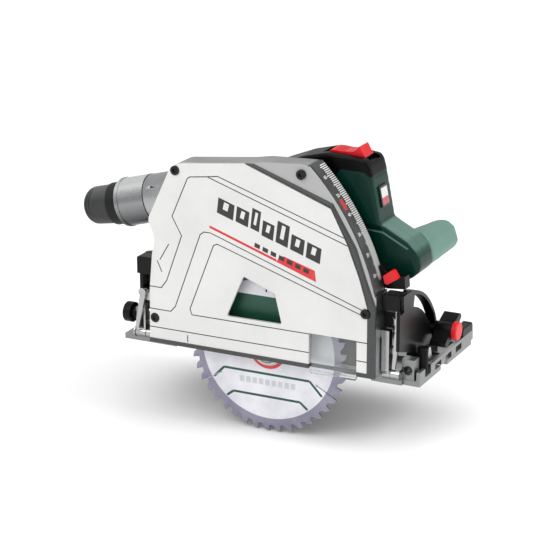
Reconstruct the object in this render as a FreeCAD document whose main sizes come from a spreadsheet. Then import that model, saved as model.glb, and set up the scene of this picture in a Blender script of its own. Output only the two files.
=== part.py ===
"""Track plunge saw with a tilting guard frame, a plunging head and a battery.

Frame: +X is the sawing direction, +Y points from the blade to the motor side, +Z is up.
The origin is on the sole's plane, on the cut line, straight under the blade's axis
with the head fully plunged.
"""
import FreeCAD, Part
import math
import os

import Sketcher

V = FreeCAD.Vector
doc = FreeCAD.newDocument("plunge_saw")

# ---------------------------------------------------------------- driving dimensions
DIMENSIONS = {
    # blade and drive line
    "blade_radius": 82.5, "blade_body": 1.2, "kerf": 1.8, "arbor_radius": 10.0,
    "spindle_z": 16.5, "flange_radius": 15.0, "nose_radius": 14.5,
    "idler_x": 4.0, "idler_z": 41.2, "motor_x": 8.0, "motor_z": 68.0,
    "motor_radius": 35.5, "motor_near": 42.0, "motor_far": 124.0,
    # plunge pivot, tilt hinge
    "pivot_x": -114.5, "pivot_z": 35.5, "pivot_radius": 6.0,
    "hinge_y": 5.0, "hinge_z": 11.0, "hinge_pin": 2.5, "knuckle": 5.0,
    # sole
    "base_rear": -150.0, "base_front": 152.0, "base_near": 8.0, "base_far": 145.0,
    "base_plate": 5.5, "rim_height": 14.0, "groove_near": 62.0, "groove_width": 16.2,
    "groove_depth": 4.5, "rod_radius": 4.5, "rod_z": 14.5,
    # blade guard
    "guard_near": -12.0, "guard_far": 12.0, "guard_wall": 2.5, "guard_bottom": 10.5,
    "guard_rear": -120.5, "guard_front": 117.0, "scale_radius": 236.0,
    "cover_near": -14.5,
    # bevel quadrants
    "rim_outer": 80.5, "rim_inner": 77.0, "sector_radius": 65.0, "quadrant_near": 136.5,
    "quadrant_plate": 3.5, "stud_radius": 3.5,
    # handle and housing shells
    "seam": 38.0, "handle_half": 19.0, "shell_wall": 2.5, "bar_far": 114.0,
    # dust port
    "port_y": 12.0, "port_radius": 23.5, "cuff_radius": 19.5, "port_bore": 16.5,
    # battery
    "battery_rear": -100.0, "battery_front": -44.0, "battery_near": 58.0,
    "battery_far": 125.0, "battery_bottom": 28.0, "battery_top": 138.0,
}

sheet = doc.addObject("Spreadsheet::Sheet", "dims")
for row, (alias, number) in enumerate(DIMENSIONS.items(), start=1):
    sheet.set(f"A{row}", alias)
    sheet.set(f"B{row}", str(number))
    sheet.setAlias(f"B{row}", alias)
doc.recompute()


class Size(float):
    """A length that also carries the sheet expression it was worked out from."""

    def __new__(cls, number, text):
        size = float.__new__(cls, number)
        size.text = text
        return size

    def joined(self, other, number, sign, flipped=False):
        mine, theirs = self.text, getattr(other, "text", f"{float(other):.6g}")
        if flipped:
            mine, theirs = theirs, mine
        return Size(number, f"({mine} {sign} {theirs})")

    def __add__(self, other):
        return self.joined(other, float(self) + float(other), "+")

    def __radd__(self, other):
        return self.joined(other, float(other) + float(self), "+", flipped=True)

    def __sub__(self, other):
        return self.joined(other, float(self) - float(other), "-")

    def __rsub__(self, other):
        return self.joined(other, float(other) - float(self), "-", flipped=True)

    def __mul__(self, other):
        return self.joined(other, float(self) * float(other), "*")

    def __neg__(self):
        return Size(-float(self), f"(0 - {self.text})")


class Sheet:
    """The driving dimensions as attributes."""


D = Sheet()
for alias, number in DIMENSIONS.items():
    setattr(D, alias, Size(number, f"dims.{alias}"))


def bind(thing, prop, size):
    """Set a property, and bind it to the sheet when the size came from there."""
    setattr(thing, prop, float(size))
    if isinstance(size, Size):
        thing.setExpression(prop, size.text)


# ---------------------------------------------------------------- solids
TURN = {"x": FreeCAD.Rotation(V(0, 1, 0), 90), "y": FreeCAD.Rotation(V(1, 0, 0), -90),
        "z": FreeCAD.Rotation()}


def place(thing, base, rotation=FreeCAD.Rotation()):
    thing.Placement = FreeCAD.Placement(V(*[float(b) for b in base]), rotation)
    for letter, size in zip("xyz", base):
        if isinstance(size, Size):
            thing.setExpression(f"Placement.Base.{letter}", size.text)
    return thing


def box(low, high):
    solid = doc.addObject("Part::Box", "Box")
    for prop, start, end in zip(("Length", "Width", "Height"), low, high):
        bind(solid, prop, end - start)
    return place(solid, low)


def rod(axis, start, length, radius):
    solid = doc.addObject("Part::Cylinder", "Rod")
    bind(solid, "Radius", radius)
    bind(solid, "Height", length)
    return place(solid, start, TURN[axis])


def cone(axis, start, length, radius_start, radius_end):
    solid = doc.addObject("Part::Cone", "Cone")
    bind(solid, "Radius1", radius_start)
    bind(solid, "Radius2", radius_end)
    bind(solid, "Height", length)
    return place(solid, start, TURN[axis])


def slanted_rod(start, direction, length, radius, radius_end=None):
    """A cylinder, or a cone, along any direction."""
    rotation = FreeCAD.Rotation(V(0, 0, 1), V(*direction))
    if radius_end is None:
        solid = doc.addObject("Part::Cylinder", "Rod")
        bind(solid, "Radius", radius)
    else:
        solid = doc.addObject("Part::Cone", "Cone")
        bind(solid, "Radius1", radius)
        bind(solid, "Radius2", radius_end)
    bind(solid, "Height", length)
    return place(solid, start, rotation)


def fuse(*solids):
    joined = doc.addObject("Part::MultiFuse", "Fuse")
    joined.Shapes = list(solids)
    return joined


def cut(solid, *tools):
    result = doc.addObject("Part::Cut", "Cut")
    result.Base = solid
    result.Tool = tools[0] if len(tools) == 1 else fuse(*tools)
    return result


def group(*solids):
    """Separate solids of one kind that share a node."""
    compound = doc.addObject("Part::Compound", "Group")
    compound.Links = list(solids)
    return compound


def tube(axis, start, length, outer, inner):
    bore_start = list(start)
    bore_start["xyz".index(axis)] = start["xyz".index(axis)] - 1
    return cut(rod(axis, start, length, outer), rod(axis, bore_start, length + 2, inner))


def edges_where(shape, test):
    """Numbers of the edges whose middle point and direction pass a test."""
    found = []
    for index, edge in enumerate(shape.Edges, start=1):
        middle = edge.valueAt((edge.FirstParameter + edge.LastParameter) / 2)
        if test(edge, middle):
            found.append(index)
    return found


def along(edge, axis):
    """Whether an edge is a straight line parallel to an axis."""
    if not isinstance(edge.Curve, (Part.Line, Part.LineSegment)):
        return False
    direction = edge.Vertexes[-1].Point - edge.Vertexes[0].Point
    return abs(abs(direction.normalize().dot(axis)) - 1) < 1e-4


def rounded(solid, radius, test, kind="Part::Fillet"):
    """Round, or bevel, the edges that pass a test."""
    doc.recompute()
    result = doc.addObject(kind, kind[6:])
    result.Base = solid
    result.Edges = [(index, radius, radius) for index in edges_where(solid.Shape, test)]
    return result


# ---------------------------------------------------------------- sketches
ROLE = {"xy": "XY_Plane", "xz": "XZ_Plane", "yz": "YZ_Plane"}
SKETCH_TURN = {"xy": FreeCAD.Rotation(), "xz": FreeCAD.Rotation(V(1, 0, 0), 90),
               "yz": FreeCAD.Rotation(V(1, 1, 1), 120)}


def draw(sketch, outline):
    """Draw a closed outline: (a, b) is a line to that corner, (a, b, via_a, via_b) an arc.

    Corners that use the sheet are held by constraints bound to it.
    """
    count = len(outline)
    ends = []
    for index in range(count):
        start, end = outline[index - 1], outline[index]
        first, last = V(start[0], start[1], 0), V(end[0], end[1], 0)
        if len(end) == 4:
            via = V(end[2], end[3], 0)
            leftward = (via - first).cross(last - via).z > 0
            arc = Part.Arc(first, via, last) if leftward else Part.Arc(last, via, first)
            number = sketch.addGeometry(arc, False)
            ends.append((number, 1, 2) if leftward else (number, 2, 1))
        else:
            number = sketch.addGeometry(Part.LineSegment(first, last), False)
            ends.append((number, 1, 2))
    for index in range(count):
        this, after = ends[index], ends[(index + 1) % count]
        sketch.addConstraint(Sketcher.Constraint("Coincident", this[0], this[2], after[0], after[1]))
    for index, corner in enumerate(outline):
        number, _, end = ends[index]
        for kind, size in zip(("DistanceX", "DistanceY"), corner[:2]):
            if isinstance(size, Size) and abs(float(size)) > 1e-9:
                near, far = ((-1, 1), (number, end))
                held = Sketcher.Constraint(kind, near[0], near[1], far[0], far[1], float(size))
                constraint = sketch.addConstraint(held)
                sketch.setExpression(f"Constraints[{constraint}]", size.text)


def sketch_on(plane, offset, outline, holes=(), body=None):
    """A sketch on a plane at an offset, in a body or on its own."""
    if body is None:
        sketch = doc.addObject("Sketcher::SketchObject", "Sketch")
        base = {"xy": V(0, 0, offset), "xz": V(0, offset, 0), "yz": V(offset, 0, 0)}[plane]
        sketch.Placement = FreeCAD.Placement(base, SKETCH_TURN[plane])
        letter = {"xy": "z", "xz": "y", "yz": "x"}[plane]
        if isinstance(offset, Size):
            sketch.setExpression(f"Placement.Base.{letter}", offset.text)
    else:
        sketch = body.newObject("Sketcher::SketchObject", "Sketch")
        origin_plane = [f for f in body.Origin.OriginFeatures if f.Role == ROLE[plane]][0]
        sketch.AttachmentSupport = [(origin_plane, "")]
        sketch.MapMode = "FlatFace"
        height = -offset if plane == "xz" else offset
        sketch.AttachmentOffset = FreeCAD.Placement(V(0, 0, float(height)), FreeCAD.Rotation())
        if isinstance(height, Size):
            sketch.setExpression("AttachmentOffset.Base.z", height.text)
    if outline:
        draw(sketch, outline)
    for a, b, radius in holes:
        circle = sketch.addGeometry(Part.Circle(V(a, b, 0), V(0, 0, 1), float(radius)), False)
        if isinstance(radius, Size):
            number = sketch.addConstraint(Sketcher.Constraint("Radius", circle, float(radius)))
            sketch.setExpression(f"Constraints[{number}]", radius.text)
    return sketch


def prism(plane, outline, low, high, holes=()):
    """An outline pulled straight between two levels of its plane's normal."""
    sketch = sketch_on(plane, low, outline, holes)
    solid = doc.addObject("Part::Extrusion", "Prism")
    solid.Base = sketch
    solid.DirMode = "Custom"
    solid.Dir = {"xy": V(0, 0, 1), "xz": V(0, 1, 0), "yz": V(1, 0, 0)}[plane]
    solid.Solid = True
    bind(solid, "LengthFwd", high - low)
    return solid


def loft(plane, sections):
    """A ruled solid through outlines given as (level, outline)."""
    solid = doc.addObject("Part::Loft", "Loft")
    solid.Sections = [sketch_on(plane, level, outline) for level, outline in sections]
    solid.Solid, solid.Ruled = True, True
    return solid


class Body:
    """A PartDesign body with pads and pockets measured along its plane's normal."""

    def __init__(self, name):
        self.body = doc.addObject("PartDesign::Body", name)

    def pad(self, plane, outline, low, high, holes=()):
        start = high if plane == "xz" else low
        feature = self.body.newObject("PartDesign::Pad", "Pad")
        feature.Profile = sketch_on(plane, start, outline, holes, self.body)
        bind(feature, "Length", high - low)
        return self

    def pocket(self, plane, outline, low, high, holes=()):
        doc.recompute()
        before = self.body.Shape.Volume
        start = low if plane == "xz" else high
        feature = self.body.newObject("PartDesign::Pocket", "Pocket")
        feature.Profile = sketch_on(plane, start, outline, holes, self.body)
        bind(feature, "Length", high - low)
        doc.recompute()
        if self.body.Shape.Volume > before - 1e-3:
            raise RuntimeError(f"{self.body.Name}: a pocket cuts nothing")
        return self

    def dress(self, kind, size, test):
        """Round or bevel edges: kind is PartDesign::Fillet or PartDesign::Chamfer."""
        doc.recompute()
        tip = self.body.Tip
        edges = [f"Edge{index}" for index in edges_where(tip.Shape, test)]
        feature = self.body.newObject(kind, kind.split("::")[1])
        feature.Base = (tip, edges)
        bind(feature, "Radius" if kind.endswith("Fillet") else "Size", size)
        return self


NODES = {}


def node(name, solid):
    """Name a finished sub-part."""
    part = solid.body if isinstance(solid, Body) else solid
    part.Label = name
    NODES[name] = part
    return part


def polar(centre, radius, degrees):
    angle = math.radians(degrees)
    return (centre[0] + radius * math.cos(angle), centre[1] + radius * math.sin(angle))


def sector(centre, inner, outer, start, end):
    """A band of a ring as an outline, between two angles in degrees."""
    middle = (start + end) / 2
    return [polar(centre, inner, start) + polar(centre, inner, middle),
            polar(centre, outer, start),
            polar(centre, outer, end) + polar(centre, outer, middle),
            polar(centre, inner, end)]


def rectangle(a0, b0, a1, b1):
    return [(a0, b0), (a1, b0), (a1, b1), (a0, b1)]


PIVOT = (float(D.pivot_x), float(D.pivot_z))
HINGE = (float(D.hinge_y), float(D.hinge_z))
STOP_KNOB = (15.0, 26.0)
X_AXIS, Y_AXIS, Z_AXIS = V(1, 0, 0), V(0, 1, 0), V(0, 0, 1)
FILLET, CHAMFER = "PartDesign::Fillet", "PartDesign::Chamfer"


# ---------------------------------------------------------------- sole and its fittings
def make_base_plate():
    """The cast sole: a ribbed plate with an open nose cut-out and a slotted front rim."""
    near, far, rear, front = D.base_near, D.base_far, D.base_rear, D.base_front
    outline = [(rear - 11.5, near), (-104, near), (-104, near + 5), (-26, near + 5),
               (-26, 46), (26, 46), (26, near + 5), (104, near + 5), (104, near - 1),
               (135, near - 1), (135, near + 2), (front, near + 2), (front, far),
               (rear, far), (rear, 32), (rear - 11.5, 32)]
    plate = Body("BasePlate")
    plate.pad("xy", outline, D.base_plate * 0, D.base_plate)
    plate.dress(FILLET, 5, lambda e, p: along(e, Z_AXIS) and p.y > 140)
    plate.pad("xy", rectangle(front - 3.5, near + 2, front, far), D.base_plate - 1, D.rim_height)
    for start in (48, 74, 100):
        plate.pocket("yz", rectangle(start, 4.5, start + 15, 10.5), front - 4, front + 1)
    plate.pocket("xy", rectangle(front - 4, 23, front + 1, 37), D.base_plate, 15)
    plate.pad("xy", rectangle(rear, 139.5, front - 3, far - 1), D.base_plate - 1, 12)
    plate.pad("xy", rectangle(rear, 44, rear + 3.5, 140), D.base_plate - 1, 12)
    for rib_y in (D.groove_near - 5, D.groove_near + D.groove_width + 2, 116):
        plate.pad("xy", rectangle(rear + 3, rib_y, front - 3, rib_y + 3), D.base_plate - 1, 9.5)
    plate.pad("xy", rectangle(rear + 3, D.groove_near - 3, front - 3,
                              D.groove_near + D.groove_width + 3), D.base_plate - 1, 7.5)
    plate.pocket("xy", rectangle(rear - 1, D.groove_near, front + 1,
                                 D.groove_near + D.groove_width), -1, D.groove_depth)
    for rib_x in (-95, -50, 50, 95):
        plate.pad("xy", rectangle(rib_x, 84, rib_x + 3, 140), D.base_plate - 1, 9.5)
    for block_x in (133.5, -135.5):
        plate.pad("xy", rectangle(block_x, near + 2.6, block_x + 12.5, 22),
                  D.base_plate - 1, 25 if block_x > 0 else 21)
    plate.pocket("xz", [], near, 30, holes=[(139.7, float(D.rod_z), D.rod_radius)])
    return node("base_plate", fuse(plate.body, stop_post()))


def make_corner_guard():
    """Soft bumper on the front rim's far corner."""
    front, far = D.base_front, D.base_far
    solid = prism("yz", [(118, 14.2), (144.8, 14.2), (144.8, 19),
                         (139, 22.5, 143.5, 21.8), (124, 22.5), (118, 19, 119.5, 21.8)],
                  front - 9, front)
    return node("corner_guard", rounded(solid, 1.2, lambda e, p: p.x > 151 and p.z > 15))


def make_rail_knob(name, x, y):
    """Ribbed thumb wheel that takes up play between the sole and the guide rail."""
    shank = rod("z", (x, y, D.base_plate), 3, 2.5)
    wheel = rod("z", (x, y, 8.2), 24, 5.2)
    ribs = [rod("z", (x + 5.2 * math.cos(math.radians(a)), y + 5.2 * math.sin(math.radians(a)), 9.5),
                21.4, 0.5) for a in range(0, 360, 24)]
    return node(name, fuse(cut(wheel, *ribs), shank))


def make_adjuster_plate():
    """Bright cam plate beside the front thumb wheel."""
    outline = [(43, 5.6), (54, 5.6), (54, 12), (49, 27), (45, 27), (43, 16)]
    return node("adjuster_cam", prism("yz", outline, 143, 146.5))


def hinge_lug(side):
    """Knuckle on the sole for the bevel hinge; side is +1 in front, -1 behind."""
    start = 125.8 if side > 0 else -133.5
    width = 7.2
    knuckle = tube("x", (start, D.hinge_y, D.hinge_z), width, D.knuckle, D.hinge_pin + 0.05)
    foot_far = 22 if side > 0 else 10.4
    foot = box((start, D.base_near + 0.2, D.base_plate), (start + width, foot_far, 9))
    foot = cut(foot, rod("x", (start - 1, D.hinge_y, D.hinge_z), width + 2, D.hinge_pin + 2))
    return fuse(knuckle, foot)


def hinge_pin(side):
    start, end = (117.5, 135.2) if side > 0 else (-147.2, -125.9)
    shaft = rod("x", (start, D.hinge_y, D.hinge_z), end - start, D.hinge_pin)
    clip_x = 133.4 if side > 0 else -147.2
    clip = tube("x", (clip_x, D.hinge_y, D.hinge_z), 1.6, 5.6, D.hinge_pin)
    return fuse(shaft, clip)


def quadrant_stand(side):
    """Upright with a foot block that holds the bevel quadrant on the sole."""
    low, high = (122.0, 129.5) if side > 0 else (-130.9, -126.2)
    near_y = 46 if side > 0 else 58
    outline = [(near_y, 5.6), (96, 5.6), (96, 9), (84, 34), (80, 46, 83.5, 42),
               (near_y + 16, 46), (near_y + 11, 34, near_y + 12, 42), (near_y, 9)]
    upright = prism("yz", outline, low, high)
    foot_low, foot_high = (129.0, 136.5) if side > 0 else (-136.5, -130.5)
    stand = fuse(upright, box((foot_low, 60, 5.6), (foot_high, 92, 23)))
    rib_room = box((low - 12, 56.7, 5), (high + 12, 83.5, 9.8))
    return cut(stand, rib_room)


def clamp_arm(side):
    """Arm on the guard frame that carries the clamp's stud behind the quadrant's slot."""
    y, z = polar(HINGE, 71, 22.5)
    tail = [(60, 47.5), (71.3, 44.0), (74.4, 38), (71.8, 32.6), (66, 32.5)]
    if side > 0:
        plate = prism("yz", [(6.2, 56), (6.2, 71), (12, 71)] + tail + [(12, 56)], 131.5, 136.1)
        root = box((117.1, 6.2, 56), (132, 11.8, 71))
        stud = rod("x", (135, y, z), 10.5, D.stud_radius)
    else:
        plate = prism("yz", [(9.1, 44), (9.1, 57), (14, 57)] + tail + [(14, 44)], -136.1, -131.9)
        root = box((-132.5, 9.1, 44), (-120.7, 11.8, 57))
        stud = rod("x", (-146, y, z), 11, D.stud_radius)
    return fuse(plate, root, stud)


def make_bevel_pointer():
    """Red pointer beside the front quadrant's degree marks."""
    arm = box((130, 84.5, 28.5), (142.5, 89.5, 31.5))
    arm = fuse(arm, box((130, 84.5, 23), (132.5, 89.5, 31.5)))
    return node("bevel_pointer", arm)


def make_clamp_knob(name, side):
    """Hub with two wings, screwed on the quadrant's stud."""
    y, z = polar(HINGE, 71, 22.5)
    hub_start, hub_end = (142.4, 161.3) if side > 0 else (-160.0, -142.0)
    wing_start, wing_end = (144.5, 160.5) if side > 0 else (-157.0, -143.5)
    bore_start = hub_start - 1 if side > 0 else -147.0
    hub = cut(rod("x", (hub_start, y, z), hub_end - hub_start, 7.2),
              rod("x", (bore_start, y, z), 6.0, D.stud_radius + 0.05))
    wings = prism("yz", [(y - 19.5, z - 7), (y - 15.7, z - 12.2, y - 18.8, z - 10.6), (y, z - 5.5),
                         (y + 19.5, z + 7), (y + 15.7, z + 12.2, y + 18.8, z + 10.6), (y, z + 5.5)],
                  wing_start, wing_end)
    wings = cut(wings, rod("x", (wing_start - 1, y, z), wing_end - wing_start + 2, 6))
    return node(name, fuse(wings, hub))


def make_clamp_cap():
    y, z = polar(HINGE, 71, 22.5)
    disc = rod("x", (161.4, y, z), 5.0, 9.0)
    return node("front_clamp_cap", rounded(disc, 1.5, lambda e, p: p.x > 166))


def stop_post():
    """Post and bolt for the knob at the sole's rear end."""
    post = box((-150.5, 11, 5), (-146, 19, 33))
    return fuse(post, rod("x", (-163.2, STOP_KNOB[0], STOP_KNOB[1]), 15, 3))


def make_stop_knob():
    """Small knob at the rear end of the sole for the undercut stop."""
    y, z = STOP_KNOB
    wheel = tube("x", (-163, y, z), 8.5, 10.0, 3.05)
    collar = tube("x", (-155.0, y, z), 4.2, 6.0, 3.05)
    return node("rear_stop_knob", fuse(rounded(wheel, 1.5, lambda e, p: abs(p.x + 163) < 0.1
                                               and e.Length > 40), collar))


# ---------------------------------------------------------------- tilting guard frame
def guard_outline(inset):
    """The guard's side view, moved inwards by a wall when inset is not 0."""
    front_low = polar(PIVOT, float(D.scale_radius) - inset, 13.5)
    front_mid = polar(PIVOT, float(D.scale_radius) - inset, 30)
    front_top = polar(PIVOT, float(D.scale_radius) - inset, 46.2 - inset * 0.55)
    bottom = D.guard_bottom - (3 if inset else 0)
    return [(D.guard_rear + inset, bottom), (D.guard_front - inset, bottom),
            (D.guard_front - inset, front_low[1]), front_low,
            front_top + front_mid,
            (0, 203.8 - inset), (-17, 200.8 - inset), (-82, 193.4 - inset),
            (-97 + inset, 184 - inset * 0.5, -91 + inset * 0.6, 190.3 - inset * 0.8),
            (-119 + inset, 137), (-119 + inset, 129, -119.7 + inset, 133),
            (-114 + inset, 110, -115 + inset, 119.5), (-116.5 + inset, 100),
            (-119.5 + inset, 67)]


def make_guard_housing():
    """The open-bottomed casting behind the blade, with the arc slot for the spindle nose."""
    shell = prism("xz", guard_outline(0), D.guard_near, D.guard_far)
    hollow = prism("xz", guard_outline(float(D.guard_wall)), D.guard_near - 1, D.guard_far - 2.5)
    slot = prism("xz", sector(PIVOT, 95, 141, -24, 39), D.guard_far - 3, D.guard_far + 1)
    boss = rod("y", (D.pivot_x, D.guard_near + 0.4, D.pivot_z), D.guard_far - D.guard_near - 0.4, 9)
    bore = rod("y", (D.pivot_x, -20, D.pivot_z), 40, D.pivot_radius)
    outlet = slanted_rod(PORT_MOUTH, PORT_BACK, 34, D.port_radius - 0.5)
    inside = prism("xz", guard_outline(float(D.guard_wall)), D.guard_near - 1, D.guard_far - 1)
    outlet = cut(outlet, box((-150, -30, 90), (-60, -11.9, 220)),
                 box((-116, 16.5, 90), (-60, 60, 220)), inside)
    outlet_bore = slanted_rod(PORT_END, PORT_BACK, 43, D.port_bore + 1)
    throat = box((-122, -7, 140), (-98, 8.5, 164))
    shell = cut(fuse(cut(shell, hollow), boss, outlet), slot, bore, outlet_bore, throat)
    return node("guard_housing", shell)


PORT_BACK = (math.cos(math.radians(15)), 0.0, math.sin(math.radians(15)))
PORT_END = (-158.5, float(D.port_y), 139.1)
PORT_MOUTH = tuple(e + 33.0 * b for e, b in zip(PORT_END, PORT_BACK))
CUFF_DIRECTION = (-0.894, 0.361, -0.265)


def cover_flange():
    """Light flange between the dark band and the scale, along the cover's front edge."""
    arc_end, arc_mid = polar(PIVOT, 235.6, 46.0), polar(PIVOT, 235.6, 30)
    outline = [(-17, 199.5), (70, 167), (87, 135.3), (99, 105.5), (108, 76.8), (116.5, 80.5),
               (116.5, 88), polar(PIVOT, 235.6, 13.6), arc_end + arc_mid, (47, 205.2),
               (40, 206.4), (0, 203.3), (-17, 200.4)]
    return prism("xz", outline, D.cover_near + 1.4, D.guard_near)


STYLING_LINES = (
    ((-121, 67), (-107, 67), (-101, 75), (-84, 122), (-94, 140), (-77, 179), (-74, 181),
     (-56, 183.3), (88, 135.5)),
    ((-56, 183.3), (-45, 185), (86, 142)),
    ((-121, 44.5), (-97, 44.5), (-92, 50), (-64, 126), (-60, 129), (-53, 129), (103, 76)),
    ((50, 44.5), (-74, 44.5), (-76, 50), (-50, 117), (-46, 119), (103, 71)),
    ((98.6, 44.5), (108.8, 44.5)),
    ((-121, 26), (50, 26)),
    ((98.6, 26), (108.8, 26)),
)


def styling_grooves():
    """Shallow grooves that divide the cover plate into fields."""
    grooves = []
    for line in STYLING_LINES:
        for (x0, z0), (x1, z1) in zip(line, line[1:]):
            groove = doc.addObject("Part::Box", "Groove")
            groove.Length = math.hypot(x1 - x0, z1 - z0) + 0.5
            groove.Width, groove.Height = 1.0, 1.0
            angle = math.degrees(math.atan2(z1 - z0, x1 - x0))
            turn = FreeCAD.Rotation(V(0, 1, 0), -angle)
            start = turn.multVec(V(-0.25, 0, -0.5)) + V(x0, float(D.cover_near) - 0.5, z0)
            groove.Placement = FreeCAD.Placement(start, turn)
            grooves.append(groove)
    return grooves


def make_guard_cover():
    """White cover plate: flat flange, raised field, spindle window and finger recesses."""
    rear, bottom = D.guard_rear, D.guard_bottom + 4.2
    outline = [(rear, bottom), (49.6, bottom), (49.6, 45.4), (98.4, 45.4), (98.4, bottom),
               (108.9, bottom), (108.9, 77), (100, 106), (88, 136), (71, 168.4), (-17, 200.4),
               (-82, 193.1), (-97, 184, -91, 190.1), (-119, 137), (-119, 129, -119.7, 133),
               (-114, 110, -115, 119.5), (-116.5, 100), (-119.5, 67)]
    cover = Body("GuardCover")
    cover.pad("xz", outline, D.cover_near, D.guard_near)
    cover.pocket("xz", [(-36.5, 49), (21.5, 49.5), (14.3, 79), (-18.5, 91)],
                 D.cover_near - 1, D.guard_near + 1)
    cover.dress(FILLET, 1.5, lambda e, p: along(e, Y_AXIS) and -40 < p.x < 25 and 45 < p.z < 95)
    screw_holes = [rod("y", (x, D.cover_near - 1, z), 5, 4.7) for x, z in COVER_SCREWS]
    pivot_hole = rod("y", (D.pivot_x, D.cover_near - 1, D.pivot_z), 5, 4.8)
    plate = fuse(cover.body, cover_flange())
    return node("guard_cover", cut(plate, pivot_hole, *screw_holes, *styling_grooves()))


COVER_SCREWS = ((-90.0, 185.5), (41.0, 197.0), (107.0, 73.0))


def make_guard_frame():
    """Dark cast rim of the cover: bottom strip, front post and the sloping upper band."""
    low, high = D.cover_near - 0.5, D.guard_near
    strip = [(D.guard_rear, D.guard_bottom), (49.6, D.guard_bottom), (49.6, D.guard_bottom + 4.1),
             (D.guard_rear, D.guard_bottom + 4.1)]
    post = [(98.5, D.guard_bottom), (D.guard_front, D.guard_bottom), (D.guard_front, 80),
            (107, 106), (97, 134), (73, 173.4), (-8, 201.4), (-16.8, 200.7), (71.1, 168.6),
            (88.1, 136.1), (100.1, 106.1), (109, 77.1), (109, D.guard_bottom + 4.1),
            (98.5, D.guard_bottom + 4.1)]
    band = prism("xz", post, low, high)
    band = rounded(band, 1.6, lambda e, p: abs(p.y - float(low)) < 0.01 and p.z > 60
                   and p.x > -8 and e.Length > 5, "Part::Chamfer")
    screw_hole = rod("y", (107, D.cover_near - 1, 73), 5, 5.2)
    bottom, top = D.guard_bottom + 0.2, D.guard_bottom + 3.9
    bridge = [box((43, high - 1, bottom), (49.5, -8.8, top)),
              box((98.6, high - 1, bottom), (105, -8.8, top)),
              box((43, -9.8, bottom), (105, -8.8, top))]
    frame = fuse(prism("xz", strip, low, high), band, *bridge)
    return node("guard_frame", cut(frame, screw_hole, cover_flange()))


def make_cover_screws():
    screws = []
    for x, z in COVER_SCREWS:
        front = D.cover_near - (1.6 if x > 100 else 1.2)
        head = rod("y", (x, front, z), 3.2 if x < 100 else 2.4, 4.6)
        recess = rod("y", (x, front - 1, z), 2.6, 2.0)
        shank = rod("y", (x, front + 1, z), 6, 1.8)
        screws.append(cut(fuse(head, shank), recess))
    return node("cover_screws", group(*screws))


def make_sight_window():
    """Clear chip shield that slides up in the cover's front opening."""
    pane = box((50.2, -11.7, 6.2), (97.8, -10.2, 48.0))
    lip = box((50.2, -15.4, 6.2), (97.8, -10.2, 9.0))
    return node("sight_window", fuse(pane, lip))


def make_depth_scale():
    """Curved scale strip on the front wall, with a groove per millimetre of depth."""
    band = prism("xz", sector(PIVOT, 236.0, 237.2, 14.2, 46.0), -11.6, 11.8)
    ticks = []
    for step in range(0, 62):
        angle = 15.2 + 0.49 * step
        x, z = polar(PIVOT, 237.25, angle)
        length = 9.0 if step % 5 == 0 else 7.0
        tick = doc.addObject("Part::Box", "Tick")
        tick.Length, tick.Width, tick.Height = 0.8, length, 0.6
        tick.Placement = FreeCAD.Placement(V(x - 0.4, 11.0 - length, z),
                                           FreeCAD.Rotation(V(0, 1, 0), -angle))
        ticks.append(tick)
    return node("depth_scale", cut(band, *ticks))


def make_depth_stop():
    """Carriage that clamps on the scale and limits the plunge, with its red release key."""
    shoe = prism("xz", sector(PIVOT, 237.5, 242.5, 14.0, 19.2), 6.9, 12.5)
    block = prism("xz", [(118, 92.8), (137, 94.5), (136, 106), (134, 107), (118, 98.5)], 7, 18.4)
    link = prism("xz", sector(PIVOT, 237.5, 243.5, 14.6, 17.4), 7, 18.4)
    node("depth_stop", fuse(shoe, block, link))
    key = prism("xz", [(119.5, 100.4), (122.3, 99.4), (132.0, 105.8), (128.0, 112.2),
                       (125.0, 112.6, 126.7, 112.9), (117.8, 107.0)], -1, 6.7)
    return node("stop_key", key)


def make_pivot_pin():
    pin = rod("y", (D.pivot_x, D.guard_near + 0.1, D.pivot_z), 62.9, D.pivot_radius - 0.05)
    hexagon = doc.addObject("Part::Prism", "Hexagon")
    hexagon.Polygon, hexagon.Circumradius, hexagon.Height = 6, 2.4, 2.0
    place(hexagon, (D.pivot_x, -16.0, D.pivot_z), TURN["y"])
    head = rod("y", (D.pivot_x, D.cover_near - 0.6, D.pivot_z), 4.0, 4.6)
    return node("plunge_pivot_pin", cut(fuse(pin, head), hexagon))


def make_return_spring():
    """Torsion spring that lifts the head, wound round the pivot boss behind the guard."""
    turns = []
    for index in range(5):
        ring = doc.addObject("Part::Torus", "Turn")
        ring.Radius1, ring.Radius2 = 7.8, 1.1
        place(ring, (D.pivot_x, 42.0 + 2.0 * index, D.pivot_z), TURN["y"])
        turns.append(ring)
    leg = rod("z", (D.pivot_x + 7.8, 42.0, D.pivot_z), 20, 1.1)
    tail = rod("z", (D.pivot_x + 7.8, 50.0, D.pivot_z - 16), 16, 1.1)
    return node("return_spring", fuse(leg, tail, *turns))


def hinge_arm(side):
    """Bright upright on the guard frame that carries the bevel hinge's knuckle."""
    low, high = (118.0, 125.5) if side > 0 else (-145.4, -134.2)
    knuckle = tube("x", (low, D.hinge_y, D.hinge_z), high - low, D.knuckle, D.hinge_pin + 0.05)
    post = box((low, -2, 15), (high, 6, 55)) if side > 0 else box((-136.1, 1, 15), (-134.2, 9, 57))
    foot = (box((117.1, -2, 48), (high, 6, 55)) if side > 0
            else box((-136.1, 1, 46), (-120.6, 9, 57)))
    post = cut(fuse(post, foot), rod("x", (low - 1, D.hinge_y, D.hinge_z), 14, D.hinge_pin + 1.5))
    return fuse(knuckle, post)


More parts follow.
